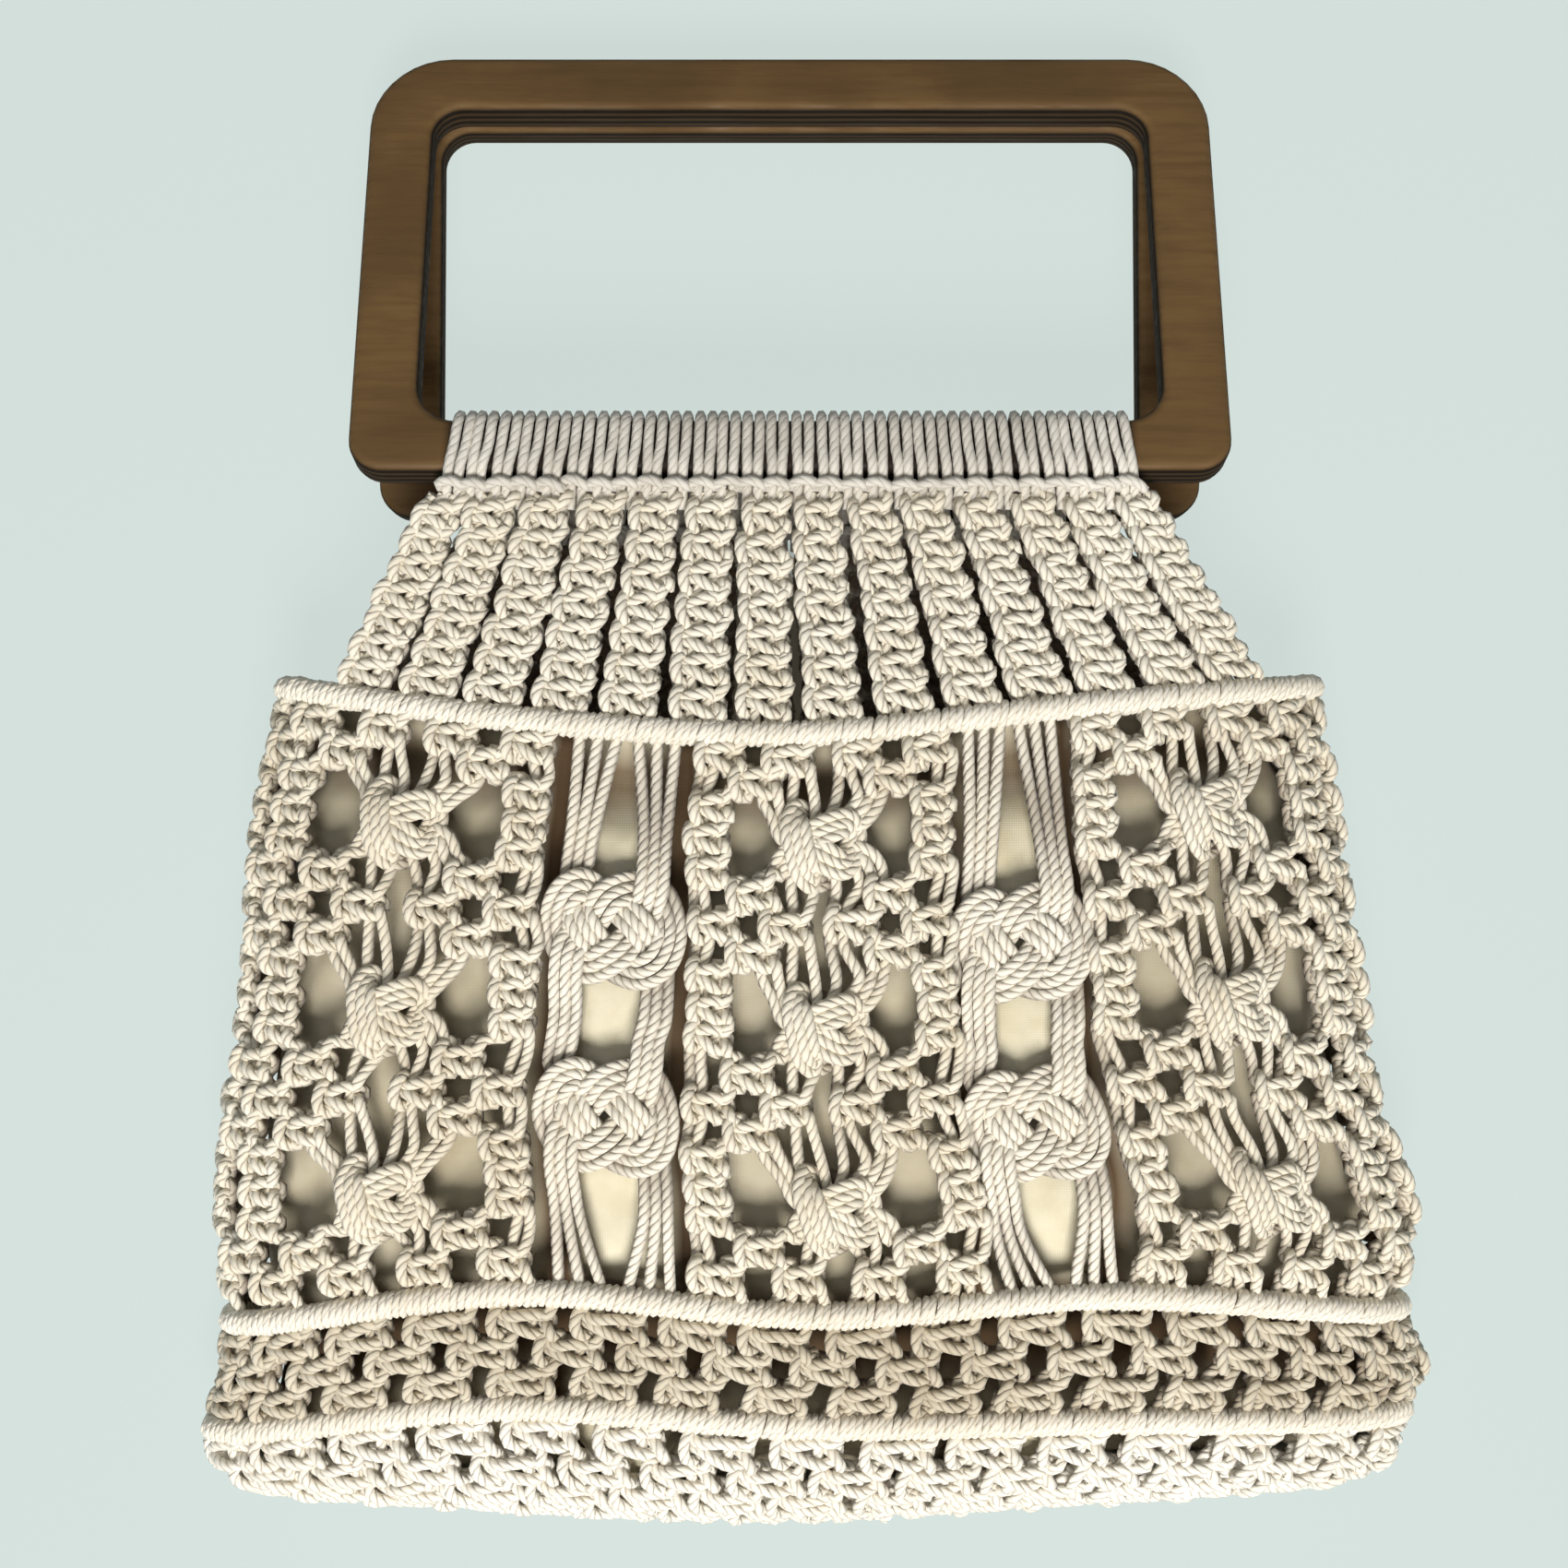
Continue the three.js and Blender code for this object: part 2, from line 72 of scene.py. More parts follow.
PHOTO_SIDE = 1700
FOCAL_LENGTH_IN_PIXELS = 2174
SENSOR_WIDTH = 36.0
CAMERA_SPOT = (-0.00649, -0.00127, 0.55)
camera_data = bpy.data.cameras.new("camera")
camera_data.sensor_width = SENSOR_WIDTH
camera_data.lens = SENSOR_WIDTH * FOCAL_LENGTH_IN_PIXELS / PHOTO_SIDE
camera_data.clip_start = 0.01
camera = new_object("camera", camera_data)
camera.location = CAMERA_SPOT
bpy.context.scene.camera = camera
print("lens", round(camera_data.lens, 2), "mm")

# %% [markdown]
# The body of the bag is soft and sags as it lies. A cloth simulation could sag it, but every knot
# needs a place that can be looked up. So the body is worked out from sections: half widths,
# height of the crown, and how far each line climbs towards the handles, as shares of the bag's
# sizes. The same tables made the solids, so what is laid on this surface lies where they lie.

# %% Sizes of the bag, in millimetres
MM = 0.001
SHIFT = np.array((-4.983, 9.73, 0.0))
CORD = 3.0
BODY_WIDTH, BODY_LENGTH, BODY_HEIGHT, BASE_DEPTH = 316.0, 170.5, 66.0, 30.5
MIDDLE_RIDGE = 0.83
FOLD_SHARE = 0.45
CROWN_POWER, UNDERSIDE_POWER = 2.6, 3.0
FOOT_TURN = 0.93 * math.pi / 2
FOOT_NARROWING = 0.22
UNDERSIDE = 2.8
LOWEST_LINE = CORD / 2 + 0.05
SECTIONS = np.array((  # along, left, right, top
    (0.0, 0.415, 0.43, 0.92), (0.2, 0.438, 0.449, 0.97), (0.4, 0.445, 0.465, 1.0),
    (0.55, 0.459, 0.479, 1.0), (0.7, 0.465, 0.508, 0.99), (0.83, 0.459, 0.5, 0.955),
    (0.92, 0.467, 0.518, 0.9), (1.0, 0.478, 0.506, 0.83)))
CLIMBS = np.array((  # along, then the climb at the left fold, quarter, middle, quarter, fold
    (0.0, 0.08, 0.028, 0.008, 0.048, 0.082), (0.83, -0.042, 0.034, 0.005, 0.03, -0.02),
    (1.0, -0.044, 0.023, 0.0, 0.004, -0.015), (1.2, -0.04, 0.021, 0.0, 0.006, -0.01),
    (2.0, 0.05, 0.008, 0.0, 0.03, 0.06)))
CLIMB_PLACES = np.array((-1.0, -0.5, 0.0, 0.5, 1.0))


def between(places, values, at):
    """A smooth value between the rows of a table."""
    gaps = np.diff(places)
    slopes = np.gradient(values, places, axis=0, edge_order=1)
    as_column = (...,) + (None,) * (values.ndim - 1)
    slopes[1:-1] = (values[2:] - values[:-2]) / (places[2:] - places[:-2])[as_column]
    i = np.clip(np.searchsorted(places, at) - 1, 0, len(places) - 2)
    x = (at - places[i]) / gaps[i]
    ends = (1 + 2 * x) * (1 - x) ** 2 * values[i] + x * x * (3 - 2 * x) * values[i + 1]
    bends = x * (1 - x) ** 2 * slopes[i] + x * x * (x - 1) * slopes[i + 1]
    return ends + gaps[i] * bends


print("body", BODY_WIDTH, "mm wide and", BODY_LENGTH + BASE_DEPTH, "mm from top ridge to foot")

# %% [markdown]
# Cords lie on the outside of the body. They could be projected on a mesh of it, which means a
# search for every point. A table of places, outward directions and stretches is looked up instead,
# so a knot that is given in millimetres can be laid anywhere on the body at its real size.

# %% The body's surface
ROUND_STEPS, LONG_STEPS, ARC_STEPS = 400, 166, 160
CLOSED_AT = 2.07  # where the front and the back of the foot meet


def half_section(half_width, height, power, steps):
    """One face of a section, as places that lie evenly along it."""
    turn = np.linspace(math.pi, 0, ARC_STEPS + 1)
    x = half_width * np.sign(np.cos(turn)) * np.abs(np.cos(turn)) ** (2 / power)
    z = height * np.abs(np.sin(turn)) ** (2 / power)
    run = np.concatenate(((0,), np.cumsum(np.hypot(np.diff(x), np.diff(z)))))
    even = np.linspace(0, run[-1], steps + 1)
    return np.interp(even, run, x), np.interp(even, run, z)


def section_ring(along):
    """The section at along: 0 is the top ridge, 1 the bottom ridge and CLOSED_AT the foot."""
    down, turn = min(along, 1.0), max(along - 1.0, 0.0) * FOOT_TURN
    left, right, top = between(SECTIONS[:, 0], SECTIONS[:, 1:], down)
    crown = BODY_HEIGHT * top
    fold = FOLD_SHARE * crown
    narrowing = 1 - FOOT_NARROWING * (1 - math.cos(turn))
    half_width = BODY_WIDTH * (left + right) / 2 * narrowing
    steps = ROUND_STEPS // 2
    front_x, front_z = half_section(half_width, (crown - fold) * math.cos(turn), CROWN_POWER, steps)
    back_x, back_z = half_section(half_width, (fold - UNDERSIDE) * math.cos(turn), UNDERSIDE_POWER, steps)
    x = np.concatenate((front_x, back_x[-2::-1]))
    z = np.concatenate((fold + front_z, fold - back_z[-2::-1]))
    climbs = between(CLIMBS[:, 0], CLIMBS[:, 1:], along)
    y = BODY_LENGTH * (between(CLIMB_PLACES, climbs, x / half_width) - down) - BASE_DEPTH * math.sin(turn)
    return np.stack((BODY_WIDTH * (right - left) / 2 + x, y, z), axis=1)


SURFACE = np.stack([section_ring(along) for along in np.linspace(0, CLOSED_AT, LONG_STEPS + 1)])
closed = np.concatenate((SURFACE[:, -2:-1], SURFACE, SURFACE[:, 1:2]), axis=1)
ACROSS = (closed[:, 2:] - closed[:, :-2]) * ROUND_STEPS / 4
ALONG = np.gradient(SURFACE, CLOSED_AT / LONG_STEPS, axis=0)
OUTWARDS = np.cross(ALONG, ACROSS)
OUTWARDS /= np.linalg.norm(OUTWARDS, axis=2, keepdims=True)
STRETCH = np.stack((np.linalg.norm(ACROSS, axis=2), np.linalg.norm(ALONG, axis=2)), axis=2)


def look_up(table, across, along):
    """A value of the surface's tables. across runs 0 to 1 over the front and 1 to 2 over the back."""
    a = np.mod(across, 2.0) * ROUND_STEPS / 2
    b = np.clip(along, 0.0, CLOSED_AT) * LONG_STEPS / CLOSED_AT
    i, k = np.minimum(a.astype(int), ROUND_STEPS - 1), np.minimum(b.astype(int), LONG_STEPS - 1)
    p, q = (a - i)[..., None], (b - k)[..., None]
    upper = table[k, i] * (1 - p) + table[k, i + 1] * p
    lower = table[k + 1, i] * (1 - p) + table[k + 1, i + 1] * p
    return upper * (1 - q) + lower * q


def on_body(points):
    """Places in space of points given as (across, along, height over the surface)."""
    across, along, height = np.asarray(points, float).T
    places = look_up(SURFACE, across, along) + height[:, None] * look_up(OUTWARDS, across, along)
    places[:, 2] = np.maximum(places[:, 2], LOWEST_LINE)
    return places


def stretch_at(across, along):
    """How many millimetres one step across and one step along is, there."""
    return look_up(STRETCH, np.asarray(across, float), np.asarray(along, float))


girth = np.linalg.norm(np.diff(SURFACE[LONG_STEPS // 4], axis=0), axis=1).sum()
print("girth half way down", round(float(girth)), "mm")

# %% [markdown]
# A cord is flexible, so its line has to be smooth through every knot. A NURBS curve would pass
# beside the listed points, so the line is worked out here, with slopes that follow the gaps
# between the points. A geometry node group then draws a round profile along each line. A bevel on
# the curve would do that too, but the group also notes how far along the cord a place is and
# where round it, and the cord's twist is drawn from those two attributes.

# %% Smooth lines and tubes
SIDES = 6
# depths over which the painted shade of the cord grows from none to full
RECESS = (0.6, 4.6)  # millimetres under the surface of the body
STEPS = {"front": 1.35, "back": 2.0}  # millimetres between the points of a finished line
SHORTEST_GAP = 0.25
rng = np.random.default_rng(11)


def smooth(points, step):
    """Points a step apart on a smooth line through the given ones."""
    points = np.asarray(points, float)
    keep = np.concatenate(((True,), np.linalg.norm(np.diff(points, axis=0), axis=1) > SHORTEST_GAP))
    points = points[keep]
    gaps = np.linalg.norm(np.diff(points, axis=0), axis=1)
    run = np.concatenate(((0,), np.cumsum(gaps)))
    chords = np.diff(points, axis=0) / gaps[:, None]
    slopes = np.empty_like(points)
    slopes[0], slopes[-1] = chords[0], chords[-1]
    before, after = gaps[:-1, None], gaps[1:, None]
    slopes[1:-1] = (chords[:-1] * after + chords[1:] * before) / (before + after)
    counts = np.maximum(1, np.round(gaps / step)).astype(int)
    at = np.concatenate([run[i] + gaps[i] * np.arange(n) / n for i, n in enumerate(counts)] + [run[-1:]])
    i = np.clip(np.searchsorted(run, at, side="right") - 1, 0, len(gaps) - 1)
    x = ((at - run[i]) / gaps[i])[:, None]
    ends = (1 + 2 * x) * (1 - x) ** 2 * points[i] + x * x * (3 - 2 * x) * points[i + 1]
    return ends + gaps[i, None] * (x * (1 - x) ** 2 * slopes[i] + x * x * (x - 1) * slopes[i + 1])


def new_group(name, kind, inputs, outputs):
    """A node group with named sockets, its nodes and links, and its two ends."""
    group = bpy.data.node_groups.new(name, kind)
    for in_out, sockets in (("INPUT", inputs), ("OUTPUT", outputs)):
        for label, socket in sockets.items():
            group.interface.new_socket(label, in_out=in_out, socket_type="NodeSocket" + socket)
    nodes = group.nodes
    return group, nodes, group.links, nodes.new("NodeGroupInput"), nodes.new("NodeGroupOutput")


def tube_group():
    """Geometry nodes that turn lines into tubes and note where each place is on its cord."""
    group, nodes, links, start, end = new_group(
        "cord_tube", "GeometryNodeTree",
        {"Lines": "Geometry", "Radius": "Float", "Sides": "Int"}, {"Tubes": "Geometry"})
    place = nodes.new("GeometryNodeSplineParameter")
    run = nodes.new("GeometryNodeStoreNamedAttribute")
    run.data_type, run.domain = "FLOAT", "POINT"
    run.inputs["Name"].default_value = "run"
    circle = nodes.new("GeometryNodeCurvePrimitiveCircle")
    spot = nodes.new("GeometryNodeInputPosition")
    unit = nodes.new("ShaderNodeVectorMath")
    unit.operation = "NORMALIZE"
    side = nodes.new("GeometryNodeStoreNamedAttribute")
    side.data_type, side.domain = "FLOAT_VECTOR", "POINT"
    side.inputs["Name"].default_value = "side"
    sweep = nodes.new("GeometryNodeCurveToMesh")
    sweep.inputs["Fill Caps"].default_value = True
    shade = nodes.new("GeometryNodeSetShadeSmooth")
    links.new(start.outputs["Lines"], run.inputs["Geometry"])
    links.new(place.outputs["Length"], run.inputs["Value"])
    links.new(start.outputs["Sides"], circle.inputs["Resolution"])
    links.new(start.outputs["Radius"], circle.inputs["Radius"])
    links.new(circle.outputs["Curve"], side.inputs["Geometry"])
    links.new(spot.outputs["Position"], unit.inputs[0])
    links.new(unit.outputs["Vector"], side.inputs["Value"])
    links.new(run.outputs["Geometry"], sweep.inputs["Curve"])
    links.new(side.outputs["Geometry"], sweep.inputs["Profile Curve"])
    links.new(sweep.outputs["Mesh"], shade.inputs["Geometry"])
    links.new(shade.outputs["Geometry"], end.inputs["Tubes"])
    return group


CORD_TUBE = tube_group()
made_faces = {}


def socket_name(group, name):
    return next(item.identifier for item in group.interface.items_tree if item.name == name)


def add_line(curve, places, closed):
    """A line of short straight steps through places in metres."""
    spline = curve.splines.new("POLY")
    spline.points.add(len(places) - 1)
    spline.points.foreach_set("co", np.column_stack((places, np.ones(len(places)))).ravel())
    spline.use_cyclic_u = closed


def mesh_of(drawn, name, material):
    """The mesh that an object's curve and modifiers make. The object is then taken away."""
    mesh = bpy.data.meshes.new_from_object(drawn.evaluated_get(bpy.context.evaluated_depsgraph_get()))
    bpy.data.objects.remove(drawn)
    mesh.name = name
    mesh.materials.clear()
    mesh.materials.append(material)
    return mesh


def cord_piece(name, lines, nodes, material, radius=CORD / 2, closed=False):
    """One mesh piece of tubes along lines: places in millimetres, and for knots also the height
    of each place over the surface and the direction outwards."""
    curve = bpy.data.curves.new(name + "_lines", "CURVE")
    curve.dimensions = "3D"
    for line in lines:
        add_line(curve, (line[:, :3] + SHIFT) * MM, closed)
    drawn = new_object(name + "_lines", curve)
    modifier = drawn.modifiers.new("tube", "NODES")
    modifier.node_group = CORD_TUBE
    modifier[socket_name(CORD_TUBE, "Radius")] = radius * MM
    modifier[socket_name(CORD_TUBE, "Sides")] = SIDES
    mesh = mesh_of(drawn, name, material)
    if lines[0].shape[1] > 3:
        note_recess(mesh, lines)
    made_faces[name] = sum(len(p.vertices) - 2 for p in mesh.polygons)
    finish_piece(new_object(name, mesh), nodes)


def between_steps(value, low, high):
    """0 up to low, 1 from high on, and smooth between them."""
    x = np.clip((value - low) / (high - low), 0, 1)
    return x * x * (3 - 2 * x)


def note_recess(mesh, lines):
    """Notes how deep each place lies among the knots, where painted shade darkens the cord."""
    table = np.repeat(np.concatenate(lines), SIDES, axis=0)
    spots = np.empty(3 * len(mesh.vertices))
    mesh.vertices.foreach_get("co", spots)
    offset = spots.reshape(-1, 3) / MM - SHIFT - table[:, :3]
    height = table[:, 3] + (offset * table[:, 4:]).sum(axis=1)
    recess = mesh.attributes.new("recess", "FLOAT", "POINT")
    recess.data.foreach_set("value", between_steps(-height, *RECESS))


def finish_piece(piece, nodes):
    """Every piece rides on the bag and stands for its solids."""
    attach(piece, "root")
    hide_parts(*nodes)


print("tube group of", len(CORD_TUBE.nodes), "nodes, tubes with", SIDES, "sides")

# %% [markdown]
# The cord is three plies twisted together. Seen from the side the plies are slanted lobes with
# dark creases between them. Three thin tubes in place of each cord would need many more
# triangles, so one wave of the two attributes gives the plies' height and a mask for the creases.
# It is a node group, because the nets, the ridges and the wraps all need it.

# %% Node helpers
def new_material(name):
    material = bpy.data.materials.new(name)
    material.use_nodes = True
    nodes = material.node_tree.nodes
    return material, nodes, material.node_tree.links, nodes["Principled BSDF"]


def math_node(nodes, links, operation, *values):
    node = nodes.new("ShaderNodeMath")
    node.operation = operation
    for socket, value in zip(node.inputs, values):
        if isinstance(value, (int, float)):
            socket.default_value = value
        else:
            links.new(value, socket)
    return node.outputs[0]


def linear(red, green, blue):
    """A colour given as seen on a screen, 0 to 255."""
    parts = [c / 255 for c in (red, green, blue)]
    return tuple(c / 12.92 if c <= 0.04045 else ((c + 0.055) / 1.055) ** 2.4 for c in parts) + (1.0,)


def mix_colour(nodes, links, share, first, second):
    node = nodes.new("ShaderNodeMix")
    node.data_type = "RGBA"
    for socket, value in ((node.inputs[0], share), (node.inputs[6], first), (node.inputs[7], second)):
        if isinstance(value, (tuple, float)):
            socket.default_value = value
        else:
            links.new(value, socket)
    return node.outputs[2]


def noise_node(nodes, links, vector, scale, detail=3.0, roughness=0.55):
    node = nodes.new("ShaderNodeTexNoise")
    node.inputs["Scale"].default_value = scale
    node.inputs["Detail"].default_value = detail
    node.inputs["Roughness"].default_value = roughness
    links.new(vector, node.inputs["Vector"])
    return node.outputs["Fac"]


def spread(nodes, links, value, low, high):
    """Stretches the part of a value between low and high to 0 to 1."""
    node = nodes.new("ShaderNodeMapRange")
    node.interpolation_type = "SMOOTHSTEP"
    node.inputs["From Min"].default_value = low
    node.inputs["From Max"].default_value = high
    links.new(value, node.inputs["Value"])
    return node.outputs["Result"]


print("a mid grey of the screen is", round(linear(128, 128, 128)[0], 3), "in the shaders")

# %% The twist of the cord
PLIES = 3
PLY_LENGTH = 0.0025  # metres along the cord from one ply to the next
WOBBLE_SCALE, WOBBLE_TURN = 260.0, 1.6
LOBE_POWER = 0.6
FIBRE_SCALE, FIBRE_HEIGHT = 2600.0, 0.18


def twist_group():
    """Height and creases of the plies, from how far along and where round the cord a place is."""
    group, nodes, links, start, end = new_group(
        "cord_twist", "ShaderNodeTree", {"Ply Length": "Float"}, {"Height": "Float", "Crease": "Float"})
    run, side = nodes.new("ShaderNodeAttribute"), nodes.new("ShaderNodeAttribute")
    run.attribute_name, side.attribute_name = "run", "side"
    parts = nodes.new("ShaderNodeSeparateXYZ")
    links.new(side.outputs["Vector"], parts.inputs[0])
    angle = math_node(nodes, links, "ARCTAN2", parts.outputs["Y"], parts.outputs["X"])
    turned = math_node(nodes, links, "MULTIPLY", angle, PLIES / 2)
    travelled = math_node(nodes, links, "DIVIDE", run.outputs["Fac"], start.outputs["Ply Length"])
    phase = math_node(nodes, links, "MULTIPLY", travelled, math.pi)
    coordinates = nodes.new("ShaderNodeTexCoord")
    wobble = noise_node(nodes, links, coordinates.outputs["Object"], WOBBLE_SCALE, 2.0)
    loose = math_node(nodes, links, "MULTIPLY", wobble, WOBBLE_TURN)
    total = math_node(nodes, links, "ADD", math_node(nodes, links, "SUBTRACT", turned, phase), loose)
    lobe = math_node(nodes, links, "ABSOLUTE", math_node(nodes, links, "COSINE", total))
    height = math_node(nodes, links, "POWER", lobe, LOBE_POWER)
    fibres = noise_node(nodes, links, coordinates.outputs["Object"], FIBRE_SCALE, 2.0)
    fuzzy = math_node(nodes, links, "MULTIPLY", fibres, FIBRE_HEIGHT)
    links.new(math_node(nodes, links, "ADD", height, fuzzy), end.inputs["Height"])
    open_part = math_node(nodes, links, "SUBTRACT", 1.0, height)
    links.new(math_node(nodes, links, "POWER", open_part, 2.0), end.inputs["Crease"])
    return group


WIDE_PATCHES, FINE_PATCHES = 18.0, 140.0


def patch_group():
    """Soft patches of a warmer, handled tone over cotton."""
    group, nodes, links, start, end = new_group(
        "soft_patches", "ShaderNodeTree",
        {"Clean": "Color", "Handled": "Color", "Amount": "Float"}, {"Color": "Color"})
    spot = nodes.new("ShaderNodeTexCoord").outputs["Object"]
    wide = spread(nodes, links, noise_node(nodes, links, spot, WIDE_PATCHES), 0.35, 0.7)
    fine = spread(nodes, links, noise_node(nodes, links, spot, FINE_PATCHES), 0.35, 0.75)
    both = math_node(nodes, links, "ADD", math_node(nodes, links, "MULTIPLY", wide, 0.55),
                     math_node(nodes, links, "MULTIPLY", fine, 0.45))
    share = math_node(nodes, links, "MULTIPLY", both, start.outputs["Amount"])
    colour = mix_colour(nodes, links, share, start.outputs["Clean"], start.outputs["Handled"])
    links.new(colour, end.inputs["Color"])
    return group


CORD_TWIST, SOFT_PATCHES = twist_group(), patch_group()
print("shader groups", [group.name for group in (CORD_TWIST, SOFT_PATCHES)])

# %% [markdown]
# Clean parts of the cotton are cream, and handled parts are warmer and darker. The whole bag could
# share one material, but its band is the darkest part and its base the palest, from how the light
# falls on them, so one function makes a finish for each, with that shade and light painted into its
# colours. Deep among the knots painted shade makes the cord brown, because little light gets there,
# and the recess attribute says how deep a place lies.

# %% The cotton finishes
# painted shade: the brown that the cord turns deep among the knots
PAINTED_SHADE_BROWN = (84, 58, 28)


def place_group(nodes, group):
    node = nodes.new("ShaderNodeGroup")
    node.node_tree = group
    return node


def cotton(name, clean, handled, crease_colour, amount=0.6, crease_strength=0.68, relief=0.0004,
           deep_shade=0.9):
    """Twisted cotton: cream plies, brown shade in the creases and a faint sheen of loose fibres."""
    material, nodes, links, shader = new_material(name)
    twist, patches = place_group(nodes, CORD_TWIST), place_group(nodes, SOFT_PATCHES)
    twist.inputs["Ply Length"].default_value = PLY_LENGTH
    patches.inputs["Clean"].default_value = linear(*clean)
    patches.inputs["Handled"].default_value = linear(*handled)
    patches.inputs["Amount"].default_value = amount
    # painted shade in the creases between the plies
    share = math_node(nodes, links, "MULTIPLY", twist.outputs["Crease"], crease_strength)
    colour = mix_colour(nodes, links, share, patches.outputs["Color"], linear(*crease_colour))
    # painted shade: the deeper a place lies among the knots, the browner the cord
    recess = nodes.new("ShaderNodeAttribute")
    recess.attribute_name = "recess"
    deep = math_node(nodes, links, "MULTIPLY", recess.outputs["Fac"], deep_shade)
    colour = mix_colour(nodes, links, deep, colour, linear(*PAINTED_SHADE_BROWN))
    links.new(colour, shader.inputs["Base Color"])
    bump = nodes.new("ShaderNodeBump")
    bump.inputs["Strength"].default_value = 1.0
    bump.inputs["Distance"].default_value = relief
    links.new(twist.outputs["Height"], bump.inputs["Height"])
    links.new(bump.outputs["Normal"], shader.inputs["Normal"])
    shader.inputs["Roughness"].default_value = 0.85
    shader.inputs["Specular IOR Level"].default_value = 0.2
    shader.inputs["Sheen Weight"].default_value = 0.25
    shader.inputs["Sheen Roughness"].default_value = 0.5
    return material


# One cord, toned for how the light falls on each part: painted shade makes the band and the wraps darker,
# and the nets a little darker than the josephine mats; painted light makes the base paler.
net_cotton = cotton("net_cotton", (243, 236, 218), (208, 195, 168), (132, 106, 72), amount=0.7)
mat_cotton = cotton("mat_cotton", (244, 238, 223), (222, 211, 188), (136, 110, 76))
band_cotton_painted_shade = cotton("band_cotton_painted_shade", (222, 213, 192), (180, 166, 140), (122, 96, 64), amount=0.8,
                     crease_strength=0.66)
yoke_cotton = cotton("yoke_cotton", (241, 235, 219), (218, 206, 180), (134, 108, 76))
base_cotton_painted_light = cotton("base_cotton_painted_light", (248, 243, 231), (233, 224, 205), (150, 128, 98), crease_strength=0.45,
                     deep_shade=0.15)
ridge_cotton = cotton("ridge_cotton", (246, 240, 226), (226, 215, 192), (140, 116, 84),
                      crease_strength=0.3, relief=0.0002)
wrap_cotton_painted_shade = cotton("wrap_cotton_painted_shade", (234, 229, 218), (192, 185, 172), (118, 102, 84), amount=0.85,
                     crease_strength=0.35, relief=0.0002)
print("cotton finishes", len(bpy.data.materials))

# %% [markdown]
# The square knot has four cords. Two fillers run straight through. One working cord makes both
# bars that show in front, with a round turn at the right. The other passes behind the fillers
# and shows as an upright strand at the left, over the ends of both bars. A knot could be one
# mesh that is copied, but then no cord would run on into the next knot. So its paths are listed
# once, in shares of its size, and hundreds of cords run through them.

# %% The square knot
HALF_KNOT = 1.5 * CORD
LAYER = 0.85 * CORD
FRONT_STRAND = np.array((  # across in half knots, down in knot heights, out in layers
    (-0.98, -0.04, -0.4), (-1.0, 0.14, -0.4), (-0.8, 0.31, 0.25), (-0.4, 0.29, 0.95), (0.1, 0.18, 1.1),
    (0.5, 0.17, 0.95), (0.82, 0.26, 0.2), (1.04, 0.42, -0.35), (1.04, 0.62, -0.35), (0.8, 0.86, 0.2),
    (0.45, 0.87, 0.9), (0.05, 0.74, 1.1), (-0.4, 0.58, 0.95), (-0.8, 0.54, 0.25), (-1.02, 0.7, -0.4),
    (-0.98, 0.94, -0.4)))
BACK_STRAND = np.array((
    (1.12, -0.14, 0.7), (1.04, 0.03, 1.1), (0.86, 0.18, 0.85), (0.55, 0.32, -0.3), (0.1, 0.36, -0.95),
    (-0.45, 0.24, -0.8), (-0.78, 0.03, -0.1), (-0.96, 0.03, 0.8), (-1.08, 0.24, 1.3), (-1.12, 0.5, 1.4),
    (-1.04, 0.78, 1.3), (-0.86, 0.97, 0.6), (-0.5, 0.93, -0.6), (0.1, 0.72, -0.95), (0.6, 0.6, -0.6),
    (0.9, 0.62, 0.4), (1.1, 0.76, 1.1), (1.12, 0.9, 0.9)))
FILLERS = [np.array(((x, 0.0, 0.0), (x, 0.5, 0.0), (x, 1.0, 0.0))) for x in (-0.34, 0.34)]
SQUARE_KNOT = [FRONT_STRAND, FILLERS[0], FILLERS[1], BACK_STRAND]
UNEVEN_LEAN, UNEVEN_SIZE, UNEVEN_PLACE = 0.07, 0.045, 0.3


def knot_in_mm(height, width=1.0):
    """The four cords of one knot about its middle, a little uneven as hand work is."""
    lean, size = rng.normal(0, UNEVEN_LEAN), rng.normal(1, UNEVEN_SIZE)
    slip_x, slip_y = rng.normal(0, UNEVEN_PLACE, 2)
    cords = []
    for strand in SQUARE_KNOT:
        x = strand[:, 0] * HALF_KNOT * width * size
        y = (strand[:, 1] - 0.5) * height
        cords.append(np.stack((x - lean * y + slip_x, y + lean * x + slip_y, strand[:, 2] * LAYER), axis=1))
    return cords


print("square knot of", len(SQUARE_KNOT), "cords,", sum(map(len, SQUARE_KNOT)), "points")

# %% [markdown]
# A net is knotted row by row from cords that hang side by side, and it is drawn the same way.
# Each knot takes hold of four neighbours, adds its strands to their lines at the right place, and
# leaves them free until the next row takes hold of them again. Knots could also be placed one by
# one with cords fitted between them, but then every cord would have a joint at each knot.

# %% Laying knots on the body
FILLER_DEPTH = -2.5


